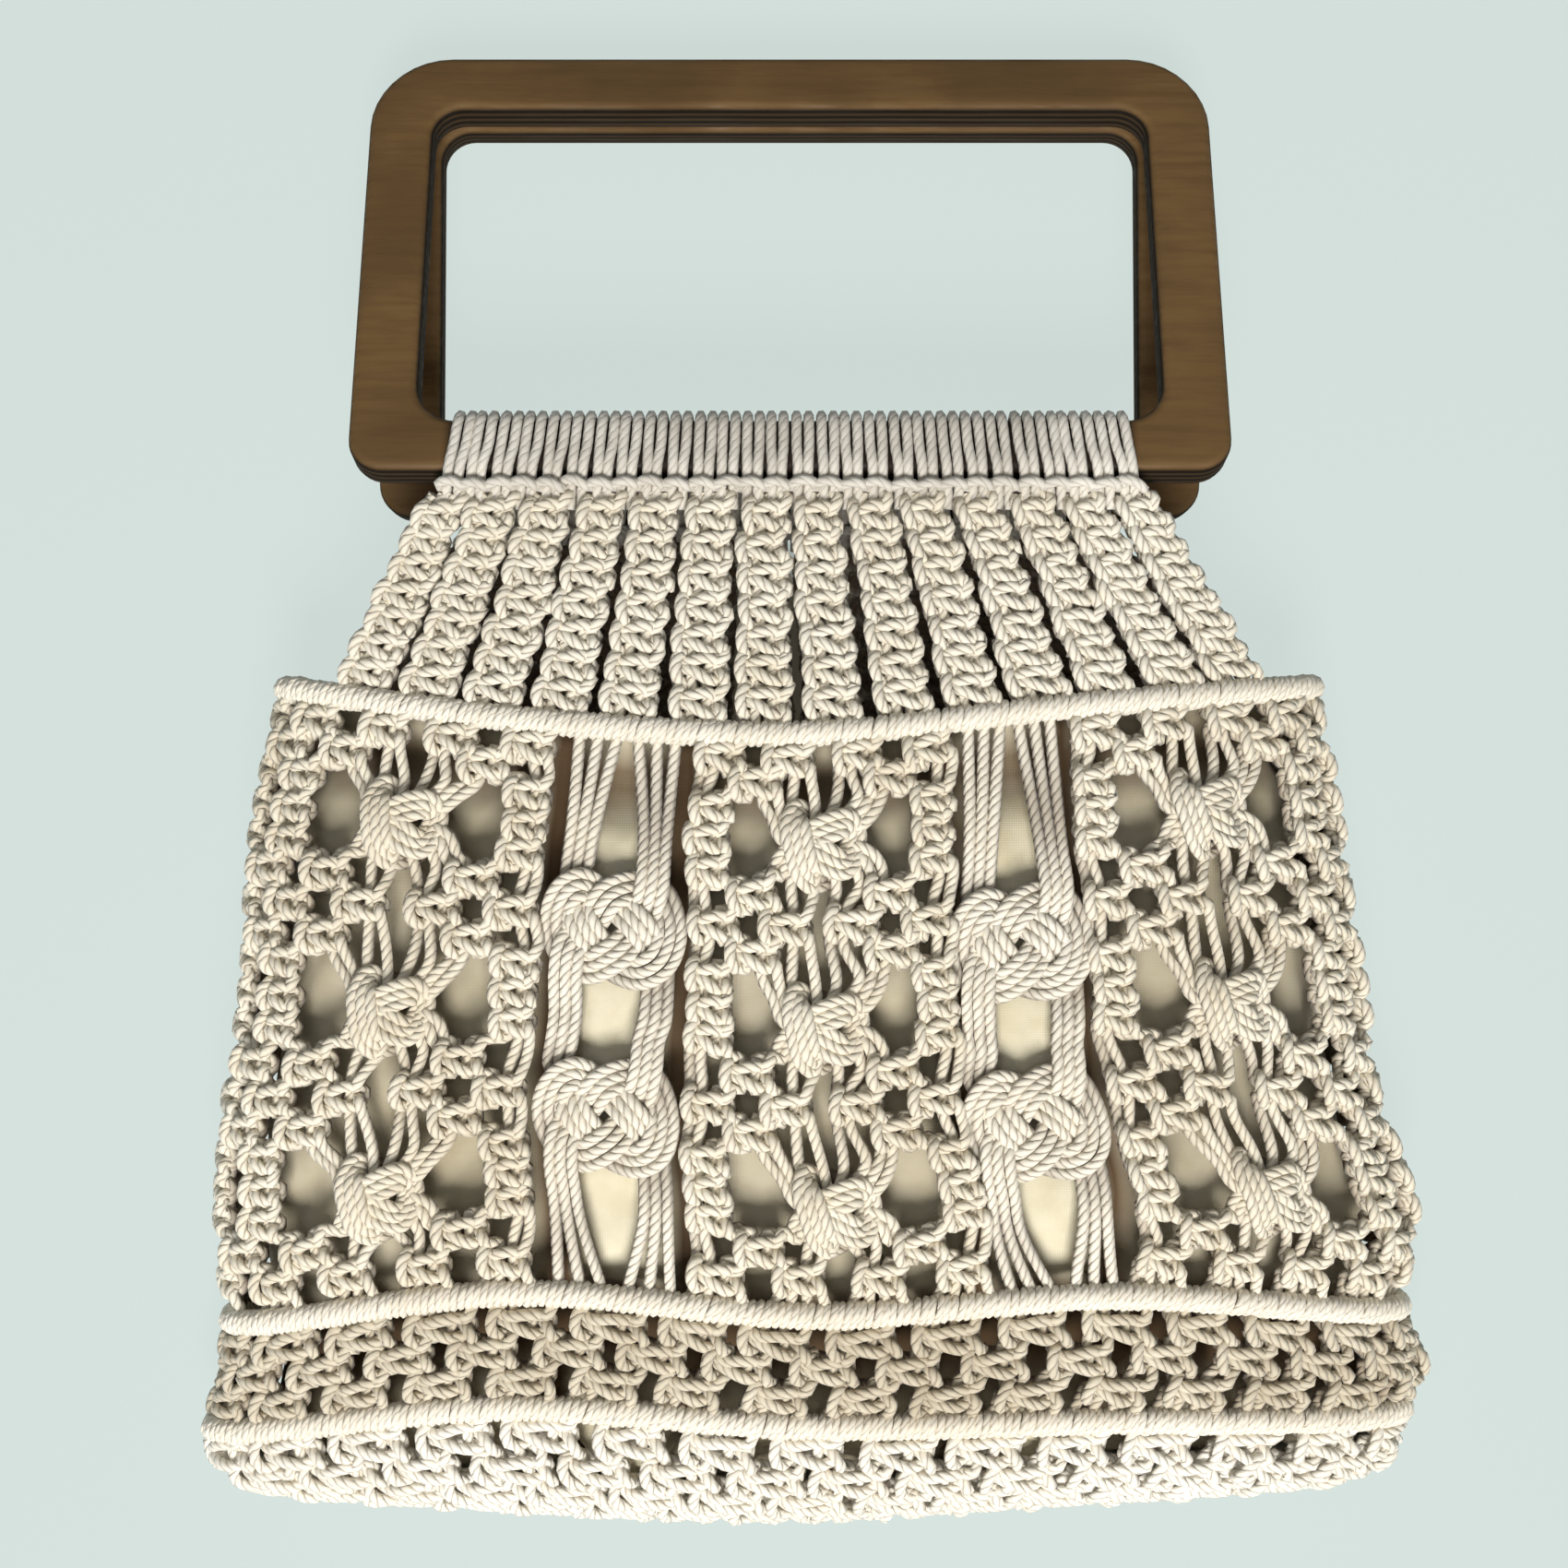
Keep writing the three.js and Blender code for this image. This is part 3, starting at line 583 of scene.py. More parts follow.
class Lanes:
    """Neighbouring cords on the body, and the points each has run through so far."""

    def __init__(self, count, edges, start, end):
        self.count, self.edges, self.end = count, edges, end
        self.cords = [[(self.lane(k, start), start, FILLER_DEPTH)] for k in range(count)]

    def lane(self, k, along):
        left, right = self.edges(along)
        return left + (right - left) * (k + 0.5) / self.count

    def add(self, k, place, points):
        """Adds points given in millimetres about a place of the body."""
        across, along = place
        per_across, per_along = stretch_at(across, along)
        for x, y, z in points:
            self.cords[k].append((across + x / per_across, along + y / per_along, FILLER_DEPTH + z))

    def square_knot(self, first, along, height, width=1.0, aside=0.0):
        across = self.lane(first + 1.5, along)
        place = (across + aside / stretch_at(across, along)[0], along)
        for k, strand in enumerate(knot_in_mm(height, width), start=first):
            rounds = k // self.count  # in a ring of cords, the last knot takes hold of the first cords
            self.add(k % self.count, (place[0] - 2 * rounds, along), strand)

    def lines(self, step):
        """The finished cords, as places in space."""
        made = []
        for k, cord in enumerate(self.cords):
            points = np.array(cord + [(self.lane(k, self.end), self.end, FILLER_DEPTH)])
            scale = np.append(stretch_at(points[:, 0].mean(), points[:, 1].mean()), 1.0)
            points = smooth(points * scale, step) / scale
            outwards = look_up(OUTWARDS, points[:, 0], points[:, 1])
            made.append(np.column_stack((on_body(points), points[:, 2], outwards)))
        return made


# %% [markdown]
# The nets repeat one motif three times: a row of four knots, two knots between them, then two
# ribs of three knots either side of an open diamond, in which eight cords meet in one big knot.
# Eight paths could be listed for it, but its strands run side by side in groups, so one path a
# group is listed, with the gap between its strands at each point.

# %% The big knot
SPACING = 0.92 * CORD
BIG_FRONT = np.array((  # across, down and out in millimetres, and the gap between its strands
    (-9.5, -7.5, 0.0, 0.9), (-8.5, -4.0, 0.2, 0.85), (-5.5, -1.8, 1.6, 0.8), (-2.0, -2.4, 3.6, 0.85),
    (2.5, -4.1, 4.0, 0.9), (6.2, -4.9, 2.8, 0.85), (8.0, -2.4, 0.2, 0.7), (7.4, 1.8, 0.4, 0.75),
    (5.6, 5.0, 2.8, 0.9), (1.6, 3.5, 4.0, 0.95), (-2.4, 1.2, 3.6, 0.85), (-5.5, 0.8, 1.6, 0.75),
    (-8.3, 3.4, 0.2, 0.8), (-9.8, 7.5, 0.0, 1.0)))
BIG_BACK = np.array((
    (11.0, -9.0, 1.0, 1.0), (8.0, -5.8, 0.6, 0.9), (4.0, -4.6, -2.2, 0.85), (-2.5, -6.4, -2.2, 0.8),
    (-5.6, -8.4, 1.2, 0.75), (-6.4, -5.0, 4.4, 0.85), (-5.4, 0.5, 5.2, 0.85), (-3.9, 6.0, 4.2, 0.85),
    (-2.0, 8.4, 0.6, 0.8), (1.4, 7.0, -2.2, 0.85), (5.0, 4.2, -2.2, 0.85), (8.6, 3.0, 0.4, 0.9),
    (10.6, 4.4, 1.0, 1.0), (12.2, 8.5, 0.0, 1.1)))
BIG_FILLER = np.array((
    (0.8, -9.5, 0.4, 1.7), (0.0, -5.5, 0.4, 1.0), (-0.2, 0.0, 0.4, 0.85), (0.2, 5.0, 0.8, 1.0),
    (1.0, 9.5, 0.2, 1.9)))


def side_by_side(path, count, spacing):
    """Strands that run together along one path, each its own distance to the left or right."""
    heading = np.gradient(path[:, :2], axis=0)
    heading /= np.linalg.norm(heading, axis=1, keepdims=True)
    sideways = np.stack((-heading[:, 1], heading[:, 0]), axis=1)
    strands = []
    for k in range(count):
        offset = (k - (count - 1) / 2) * spacing
        shifted = path[:, :2] + offset * path[:, 3:4] * sideways
        strands.append(np.concatenate((shifted, path[:, 2:3]), axis=1))
    return strands


def big_knot(lanes, first, along):
    """Eight cords: three make the bars, two are fillers, three the upright."""
    strands = side_by_side(BIG_FRONT, 3, SPACING)[::-1]
    strands += side_by_side(BIG_FILLER, 2, SPACING)[::-1]
    strands += side_by_side(BIG_BACK, 3, SPACING)[::-1]
    for k, strand in enumerate(strands):
        lanes.add(first + k, (lanes.lane(first + 3.5, along), along), strand)


print("big knot", np.ptp(BIG_FRONT[:, 0]), "mm wide")

# %% The nets
NET_CORDS = 16
KNOT_HEIGHT, KNOT_WIDTH = 7.6, 1.1
RIB_HEIGHT, RIB_WIDTH = 7.1, 0.9
# along for: full row, pair row, three ribs, big knot, closing pair
MOTIFS = (
    (0.036, 0.070, (0.107, 0.150, 0.192), 0.160, 0.230),
    (0.276, 0.316, (0.352, 0.395, 0.438), 0.420, 0.486),
    (0.533, 0.574, (0.610, 0.653, 0.696), 0.678, 0.739))
LAST_ROW = 0.778
PANEL_PLACES = np.array((0.0, 0.3, 0.6, 0.83))
PANEL_EDGES = {  # left and right edge across the front, at each of those places
    "left": np.array(((-0.005, 0.304), (-0.005, 0.303), (-0.005, 0.3), (-0.005, 0.3))),
    "centre": np.array(((0.409, 0.632), (0.41, 0.624), (0.403, 0.624), (0.396, 0.639))),
    "right": np.array(((0.721, 1.005), (0.717, 1.005), (0.724, 1.005), (0.728, 1.005)))}
JOSEPHINE_EDGES = {
    "left": np.array(((0.308, 0.405), (0.307, 0.405), (0.303, 0.403), (0.3, 0.4))),
    "right": np.array(((0.634, 0.716), (0.63, 0.716), (0.628, 0.718), (0.64, 0.73)))}
FOLD_CORDS = 4
ROW_ASIDE, RIB_ASIDE = 1.0, 2.4  # the knots next to an edge lean on it, in millimetres


def edge_finder(table, face):
    """The edges of a panel at any place along. The back is knotted like the front."""
    def edges(along):
        left, right = between(PANEL_PLACES, table, min(along, PANEL_PLACES[-1]))
        return (left, right) if face == "front" else (2 - right, 2 - left)
    return edges


def knot_net(face, side):
    """Sixteen cords make the motifs. A side net has one more rib, at the fold of the bag."""
    extra = 0 if side == "centre" else FOLD_CORDS
    lanes = Lanes(NET_CORDS + extra, edge_finder(PANEL_EDGES[side], face), 0.0, MIDDLE_RIDGE)
    fold_first = (side == "left") == (face == "front")
    start = extra if fold_first else 0
    full = range(0, NET_CORDS + extra, 4)
    pairs = [start + 2, start + 10] + ([start - 2 if fold_first else start + 14] if extra else [])
    rib_starts = [start, start + 12] + ([0 if fold_first else NET_CORDS] if extra else [])
    to_edge = {min(rib_starts): -1, max(rib_starts): 1, start: -1, start + 12: 1}
    for full_row, pair_row, ribs, big, closing in MOTIFS:
        for first in full:
            lanes.square_knot(first, full_row, KNOT_HEIGHT, KNOT_WIDTH, ROW_ASIDE * to_edge.get(first, 0))
        for first in pairs:
            lanes.square_knot(first, pair_row, KNOT_HEIGHT, KNOT_WIDTH)
        for along in ribs:
            for first in rib_starts:
                lanes.square_knot(first, along, RIB_HEIGHT, RIB_WIDTH, RIB_ASIDE * to_edge.get(first, 0))
        big_knot(lanes, start + 4, big)
        for first in pairs:
            lanes.square_knot(first, closing, KNOT_HEIGHT, KNOT_WIDTH)
    for first in full:
        lanes.square_knot(first, LAST_ROW, KNOT_HEIGHT, KNOT_WIDTH)
    return lanes.lines(STEPS[face])


for face in STEPS:
    for side in PANEL_EDGES:
        name = f"net_{face}_{side}"
        cord_piece("knotted_" + name, knot_net(face, side), [name], net_cotton)
print("nets", sum(made_faces.values()), "triangles")

# %% [markdown]
# Between the nets, six cords hang in two bundles of three and are tied twice into a josephine
# knot, a flat mat in which the bundles pass over and under each other in turn. Heights could be
# listed with the paths, but each change of a path would move its crossings. So the crossings are
# found from the flat paths, and each bundle goes up at one crossing and down at the next.

# %% The josephine knot
WEAVE_HEIGHT = 1.6
LEFT_BUNDLE = np.array((
    (-9.2, -20.0), (-9.9, -13.0), (-9.7, -7.5), (-8.0, -2.0), (-4.7, 2.9), (-0.8, 7.6), (4.8, 9.3),
    (10.8, 6.2), (13.4, 0.2), (12.6, -7.0), (9.6, -11.4), (4.2, -11.6), (-1.6, -8.6), (-4.6, -4.4),
    (-7.6, -0.6), (-11.0, 3.6), (-12.1, 9.0), (-12.2, 20.0)))
RIGHT_BUNDLE = np.array((
    (9.5, -20.0), (9.3, -12.5), (8.0, -7.0), (5.3, -1.6), (1.6, 3.6), (-2.8, 7.0), (-7.0, 9.0),
    (-11.6, 7.2), (-14.4, 1.5), (-14.2, -4.5), (-11.8, -9.2), (-8.0, -11.2), (-4.4, -9.9), (-1.0, -7.6),
    (3.0, -4.9), (7.4, -0.4), (9.8, 4.8), (10.0, 12.6), (9.6, 20.0)))


def crossings(first, second, same):
    """Where two flat lines cross, as places along the first and along the second."""
    found = []
    steps, others = np.diff(first, axis=0), np.diff(second, axis=0)
    for i, k in itertools.product(range(len(steps)), range(len(others))):
        if same and abs(i - k) < 3:
            continue
        (ax, ay), (bx, by), (gx, gy) = steps[i], others[k], second[k] - first[i]
        turn = ax * by - ay * bx
        if abs(turn) > 1e-9:
            s, t = (gx * by - gy * bx) / turn, (gx * ay - gy * ax) / turn
            if 0 <= s < 1 and 0 <= t < 1:
                found.append((i + s, k + t))
    return found


def woven(own, other, first_sign):
    """A bundle's path through the knot, going over and under in turn."""
    meetings = [s for s, _ in crossings(own, other, False)] + [s for s, _ in crossings(own, own, True)]
    meetings = sorted(meetings)
    signs = [first_sign * (-1) ** k for k in range(len(meetings))]
    places = [0, *meetings, len(own) - 1]
    heights = np.interp(np.arange(len(own)), places, [0, *signs, 0])
    eased = np.sin(heights * math.pi / 2) * WEAVE_HEIGHT
    return np.column_stack((own, eased, np.ones(len(own)))), len(meetings)


left_flat, right_flat = smooth(LEFT_BUNDLE, 2.5), smooth(RIGHT_BUNDLE, 2.5)
left_path, left_met = woven(left_flat, right_flat, -1)
right_path, right_met = woven(right_flat, left_flat, 1)
print("crossings of each bundle", left_met, right_met)

ENTRY = -3.0 * (np.arange(len(left_path)) < len(left_path) / 3)  # the lower knot's left bundle
ENTRY_FROM, ENTRY_TO = 6, 14  # millimetres above the knot's middle
JOSEPHINE_PLACES = {"left": (0.298, 0.572), "right": (0.332, 0.588)}


def tie_josephines(face, side):
    lanes = Lanes(6, edge_finder(JOSEPHINE_EDGES[side], face), 0.0, MIDDLE_RIDGE)
    left_strands = side_by_side(left_path, 3, SPACING)
    right_strands = side_by_side(right_path, 3, SPACING)
    for n, along in enumerate(JOSEPHINE_PLACES[side]):
        middle = (lanes.lane(2.5, along), along)
        for k, strand in enumerate(left_strands[::-1] + right_strands[::-1]):
            if n and k < 3:
                entering = ENTRY * between_steps(-strand[:, 1], ENTRY_FROM, ENTRY_TO)
                strand = strand + np.outer(entering, (1, 0, 0))
            lanes.add(k, middle, strand)
    return lanes.lines(STEPS[face])


for face in STEPS:
    for side in JOSEPHINE_EDGES:
        name = f"josephine_{face}_{side}"
        cord_piece("tied_" + name, tie_josephines(face, side), [name], mat_cotton)
print("with josephine knots", sum(made_faces.values()), "triangles")

# %% [markdown]
# Below the middle ridge all the cords are knotted in close rows, each row taking two cords from
# either knot above it. The base goes on in the same way round the foot. Front and back could be
# knotted apart, but a slit would show at the folds, so the rows run right round the bag.

# %% The band and the base
BAND_CORDS, BASE_CORDS = 64, 60
BAND_ROWS = (0.87, 0.912, 0.955)
BASE_ROWS = (1.15, 1.355, 1.56, 1.765, 1.97)
BAND_HEIGHT, BASE_HEIGHT = 7.4, 9.0
BAND_WIDTH, BASE_WIDTH = 1.5, 1.68


def knot_rows(rows, count, start, end, height, width):
    """Rows of knots all the way round the bag."""
    lanes = Lanes(count, lambda along: (0.0, 2.0), start, end)
    for n, along in enumerate(rows):
        for first in range(2 * (n % 2), count, 4):
            lanes.square_knot(first, along, height, width)
    return lanes


band = knot_rows(BAND_ROWS, 2 * BAND_CORDS, MIDDLE_RIDGE, 1.0, BAND_HEIGHT, BAND_WIDTH)
for face, cords in (("front", slice(BAND_CORDS)), ("back", slice(BAND_CORDS, None))):
    cord_piece(f"knotted_band_{face}", band.lines(STEPS[face])[cords], [f"band_{face}"], band_cotton_painted_shade)
base = knot_rows(BASE_ROWS, 2 * BASE_CORDS, 1.0, CLOSED_AT, BASE_HEIGHT, BASE_WIDTH)
cord_piece("knotted_base", base.lines(STEPS["back"]), ["base_net"], base_cotton_painted_light)
print("with band and base", sum(made_faces.values()), "triangles")

# %% [markdown]
# The three ridges are knotted over a cord that runs round the bag, and show as close slanted
# wraps. They could be rings copied along the ridge, but cord that is wound has no end at each
# turn, so each ridge is one long coil on a ring of the surface. The wraps lean, so the coil's
# place along the ring also swings with its turn.

# %% The ridges
WRAP_PITCH = 1.85
WRAP_RADIUS = 1.0
COIL_RADIUS = 3.5 - WRAP_RADIUS
WRAP_LEAN = 0.4
TURN_STEPS = 10
RIDGE_DEPTH = -1.0
RING_POINTS = 1601
UNEVEN_WRAP_LEAN, UNEVEN_WRAP_PLACE, UNEVEN_WRAP_RADIUS = 0.12, 0.1, 0.14


def ridge_line(along):
    """One closed coil round the bag."""
    across = np.linspace(0, 2, RING_POINTS)
    flat = np.column_stack((across, np.full(RING_POINTS, along), np.full(RING_POINTS, RIDGE_DEPTH)))
    ring = on_body(flat)
    run = np.concatenate(((0,), np.cumsum(np.linalg.norm(np.diff(ring, axis=0), axis=1))))
    turns = round(run[-1] / WRAP_PITCH)
    turn = 2 * math.pi * np.arange(turns * TURN_STEPS) / TURN_STEPS
    uneven = rng.normal(0, 1, (2, turns))
    nearest = np.arange(len(turn)) / TURN_STEPS
    shuffle, swell = (np.interp(nearest, np.arange(turns), row, period=turns) for row in uneven)
    leaning = (WRAP_LEAN + UNEVEN_WRAP_LEAN * shuffle) * np.sin(turn)
    place = run[-1] * np.arange(len(turn)) / len(turn) + leaning + UNEVEN_WRAP_PLACE * shuffle
    at = np.interp(np.mod(place, run[-1]), run, across)
    level = np.full(len(at), along)
    centre = on_body(np.column_stack((at, level, np.full(len(at), RIDGE_DEPTH))))
    out = look_up(OUTWARDS, at, level)
    heading = look_up(ACROSS, at, level)
    heading /= np.linalg.norm(heading, axis=1, keepdims=True)
    aside = np.cross(out, heading)
    radius = (COIL_RADIUS + UNEVEN_WRAP_RADIUS * swell)[:, None]
    return centre + radius * (np.cos(turn)[:, None] * out + np.sin(turn)[:, None] * aside)


for name, along in (("ridge_top", 0.0), ("ridge_middle", MIDDLE_RIDGE), ("ridge_bottom", 1.0)):
    cord_piece("wrapped_" + name, [ridge_line(along)], [name], ridge_cotton,
               radius=WRAP_RADIUS, closed=True)
print("with ridges", sum(made_faces.values()), "triangles")

# %% [markdown]
# The yoke is fourteen ribs of square knots on each face, from the loops under a handle to the
# top ridge. The ribs fan out because the body is wider than the handle. They could lie on a
# surface as the nets do, but they hang free between handle and ridge, so each is laid along its
# own straight line, and turns from the tilt of the handle to the slope of the body.

# %% Where the handles are
HANDLE_WIDTH, HANDLE_HEIGHT, HANDLE_THICKNESS = 220.0, 120.0, 10.0
TOP_BAR, SIDE_BAR, LOWER_BAR = 16.0, 16.5, 14.0
OUTER_TOP_RADIUS, OUTER_LOW_RADIUS, INNER_TOP_RADIUS, INNER_LOW_RADIUS = 21.0, 9.0, 8.0, 10.0
EDGE_ROUND = 2.3
LOWER_EDGE_UP = 60.0
BACK_RISE, BACK_REACH = 3.6, 103
FRONT_RISE, FRONT_SET_BACK = 45.4, 1.3
BETWEEN_HANDLES = 0.3
BACK_TILT = math.asin(BACK_RISE / BACK_REACH)
front_drop = FRONT_RISE - HANDLE_THICKNESS * math.cos(BACK_TILT) - BETWEEN_HANDLES
FRONT_TILT = math.asin(front_drop / HANDLE_HEIGHT)
FRONT_SHIFT = HANDLE_HEIGHT * (math.cos(BACK_TILT) - math.cos(FRONT_TILT)) - FRONT_SET_BACK
HANDLE_PLACES = {  # tilt, then how far up and how high its lower edge lies
    "front": (FRONT_TILT, LOWER_EDGE_UP + FRONT_SHIFT, FRONT_RISE),
    "back": (BACK_TILT, LOWER_EDGE_UP, HANDLE_HEIGHT * math.sin(BACK_TILT))}


def on_handle(face, points):
    """Places in space of points given on a handle: across, up from its lower edge, and out."""
    tilt, up, height = HANDLE_PLACES[face]
    x, y, z = np.asarray(points, float).T
    return np.stack((x, up + y * math.cos(tilt) + z * math.sin(tilt),
                     height - y * math.sin(tilt) + z * math.cos(tilt)), axis=1)


print("tilts", [round(math.degrees(tilt), 1) for tilt in (FRONT_TILT, BACK_TILT)], "degrees")

# %% The ribs of the yoke
RIBS, RIB_PITCH, RIB_KNOTS = 14, 13.2, 7
RIB_FROM, RIB_TO = 0.125, 0.875
RIB_LEAN = 0.6
RIB_LAYERS = 0.85
RIB_WIDENS = (1.0, 0.26)
RIB_TOP = -7.1  # where a rib starts, under the lower edge of the handle
RIB_END_DEPTH, RIB_END_UP = -3.0, 3.8
KNOT_SHARE = 0.98


def rib_frame(face, index):
    """Start, end, and the sideways and outward directions at both ends of a rib."""
    start = on_handle(face, [((index - (RIBS - 1) / 2) * RIB_PITCH, RIB_TOP, HANDLE_THICKNESS / 2)])[0]
    across = RIB_FROM + (RIB_TO - RIB_FROM) * index / (RIBS - 1)
    if face == "back":
        across = 2 - across
    end = on_body([(across, 0.0, RIB_END_DEPTH)])[0] + (0, RIB_END_UP, 0)
    edge = look_up(ACROSS, np.array(across), np.array(0.0))
    edge *= (1 if face == "front" else -1) / np.linalg.norm(edge)
    tilt = HANDLE_PLACES[face][0]
    return start, end, edge, np.array((0, math.sin(tilt), math.cos(tilt)))


def rib_lines(face, index):
    """The four cords of a rib, knotted along the straight path between its ends."""
    start, end, edge, handle_out = rib_frame(face, index)
    path = end - start
    length = np.linalg.norm(path)
    height = length / RIB_KNOTS
    cords = [[(x * 0.8, -2.5, z)] for x, z in ((-4.5, 0), (-1.5, 0), (1.5, 0), (4.5, 0))]
    for n in range(RIB_KNOTS):
        width = RIB_WIDENS[0] + RIB_WIDENS[1] * n / RIB_KNOTS
        for k, strand in enumerate(knot_in_mm(height * KNOT_SHARE, width)):
            cords[k].extend(strand * (1, 1, RIB_LAYERS) + (0, (n + 0.5) * height, 0))
    made = []
    for k, cord in enumerate(cords):
        cord.append(((k - 1.5) * 3.0, length + 3.0, 0))
        points = smooth(cord, STEPS[face])
        share = np.clip(points[:, 1] / length, 0, 1)[:, None]
        sideways = (1 - share * RIB_LEAN) * np.array((1.0, 0, 0)) + share * RIB_LEAN * edge
        sideways /= np.linalg.norm(sideways, axis=1, keepdims=True)
        over_path = np.cross(path / length, sideways)
        outwards = (1 - share) * handle_out + share * over_path
        outwards /= np.linalg.norm(outwards, axis=1, keepdims=True)
        if face == "back":
            points = points * (-1, 1, -1)
        height = (points[:, 2] if face == "front" else -points[:, 2]) + FILLER_DEPTH
        places = start + path / length * points[:, 1:2] + sideways * points[:, :1] + outwards * points[:, 2:]
        made.append(np.column_stack((places, height, outwards if face == "front" else -outwards)))
    return made


for face in STEPS:
    ribs = [line for index in range(RIBS) for line in rib_lines(face, index)]
    solids = [f"sinnet_{face}_{index + 1:02d}" for index in range(RIBS)]
    cord_piece(f"knotted_yoke_{face}", ribs, solids, yoke_cotton)
print("with yoke", sum(made_faces.values()), "triangles")

# %% [markdown]
# Each pair of cords is hitched round the lower bar: up behind its own loop, over the bar, down
# its back, under it and across in front. The loops make the row under the wraps. One half of the
# path is listed in the handle's own directions and mirrored, so the same list does both handles.

# %% The hitches on the handles
HITCHES = 2 * RIBS
HITCH_PITCH = 168.0 / HITCHES
LOOP_SPREAD = 1.04
HALF_HITCH = np.array((  # across, up, out: from the free cord to the middle of its loop
    (1.5, -8.5, 4.6), (1.4, -5.4, 5.8), (1.35, -2.6, 7.4), (1.35, -1.1, 9.5), (1.4, 1.0, 11.0),
    (1.5, 5.0, 11.4), (1.5, 13.4, 11.3), (1.5, 15.2, 9.0), (1.5, 15.35, 5.0), (1.5, 15.0, 0.6),
    (1.5, 12.8, -1.35), (1.5, 7.0, -1.4), (1.5, 1.0, -1.3), (1.7, -1.4, 1.0), (2.3, -2.6, 4.5),
    (2.75, -3.6, 7.5), (2.8, -4.1, 9.4), (2.0, -4.1, 10.5), (0.9, -3.9, 10.9), (0.0, -3.8, 11.0)))
HITCH_RADIUS, HITCH_STEP = 1.3, 1.7
SPREAD_FROM, SPREAD_OVER = 10, 14  # how high up the bar the wraps start to spread, going down


def hitch_lines(face):
    """The hitched cords of one handle, each a little slanted and uneven."""
    made = []
    for n in range(HITCHES):
        middle = (n - (HITCHES - 1) / 2) * HITCH_PITCH
        lift, wander, slant = rng.normal(0, 0.25), rng.normal(0, 0.14), rng.normal(-0.12, 0.12)
        right = HALF_HITCH.copy()
        right[:5, 0] *= rng.uniform(0.82, 1.0)
        right[-4:, 1] += lift
        points = np.concatenate((right, (right * (-1, 1, 1))[-2::-1]))
        loop = (points[:, 1] < -3) & (points[:, 2] > 9)
        points[loop, 1] += slant * points[loop, 0]
        spread_low = np.clip((SPREAD_FROM - points[:, 1]) / SPREAD_OVER, 0, 1) * (LOOP_SPREAD - 1)
        points[:, 0] = (points[:, 0] + middle) * (1 + spread_low) + wander
        made.append(on_handle(face, smooth(points, HITCH_STEP)))
    return made


for face in STEPS:
    cord_piece(f"hitched_mounting_{face}", hitch_lines(face), [f"mounting_{face}"], wrap_cotton_painted_shade,
               radius=HITCH_RADIUS)
print("with hitches", sum(made_faces.values()), "triangles in", len(made_faces), "pieces")

# %% [markdown]
# The handles are cut from plywood with a router: an outline with an opening, and both edges
# rounded. A block with a hole cut by a boolean could be bevelled, but a flat curve with a hole,
# given thickness and a rounded edge, is that same cut with cleaner faces. An attribute keeps
# where each place is on the board before it is tilted, so the wood's layers tilt with it.

# %% The handles
ARC_POINTS = 10
SAME_SPOT = 0.00001  # metres
SHARP_FROM = math.radians(35)


def rounded_outline(left, bottom, right, top, top_radius, low_radius):
    """Points round a rectangle with its own radius at the top and at the bottom corners."""
    corners = (  # middle, radius and first angle
        (right - low_radius, bottom + low_radius, low_radius, -90),
        (right - top_radius, top - top_radius, top_radius, 0),
        (left + top_radius, top - top_radius, top_radius, 90),
        (left + low_radius, bottom + low_radius, low_radius, 180))
    points = []
    for x, y, radius, start in corners:
        turn = np.radians(start + np.linspace(0, 90, ARC_POINTS))
        points.extend(np.column_stack((x + radius * np.cos(turn), y + radius * np.sin(turn))))
    return np.array(points)


def handle_piece(face, material):
    """One hand frame, cut flat and then put in its place."""
    half = HANDLE_WIDTH / 2
    outlines = (
        rounded_outline(-half, 0, half, HANDLE_HEIGHT, OUTER_TOP_RADIUS, OUTER_LOW_RADIUS),
        rounded_outline(SIDE_BAR - half, LOWER_BAR, half - SIDE_BAR, HANDLE_HEIGHT - TOP_BAR,
                        INNER_TOP_RADIUS, INNER_LOW_RADIUS)[::-1])
    curve = bpy.data.curves.new("handle_outline", "CURVE")
    curve.dimensions, curve.fill_mode = "2D", "BOTH"
    for outline in outlines:
        add_line(curve, np.column_stack((outline * MM, np.zeros(len(outline)))), True)
    curve.extrude = (HANDLE_THICKNESS / 2 - EDGE_ROUND) * MM
    curve.bevel_depth = EDGE_ROUND * MM
    curve.bevel_resolution = 3
    curve.offset = -EDGE_ROUND * MM
    mesh = mesh_of(new_object("handle_outline", curve), f"plywood_handle_{face}", material)
    shape = bmesh.new()
    shape.from_mesh(mesh)
    bmesh.ops.remove_doubles(shape, verts=shape.verts, dist=SAME_SPOT)
    bmesh.ops.recalc_face_normals(shape, faces=shape.faces)
    board = shape.verts.layers.float_vector.new("board")
    for vert in shape.verts:
        vert.co.z += HANDLE_THICKNESS / 2 * MM
        vert[board] = vert.co
        vert.co = Vector((on_handle(face, [np.array(vert.co) / MM])[0] + SHIFT) * MM)
    shape.to_mesh(mesh)
    shape.free()
    mesh.shade_smooth()
    mesh.set_sharp_from_angle(angle=SHARP_FROM)
    finish_piece(new_object(mesh.name, mesh), [f"handle_{face}"])


print("handle", HANDLE_WIDTH, "by", HANDLE_HEIGHT, "by", HANDLE_THICKNESS, "mm")
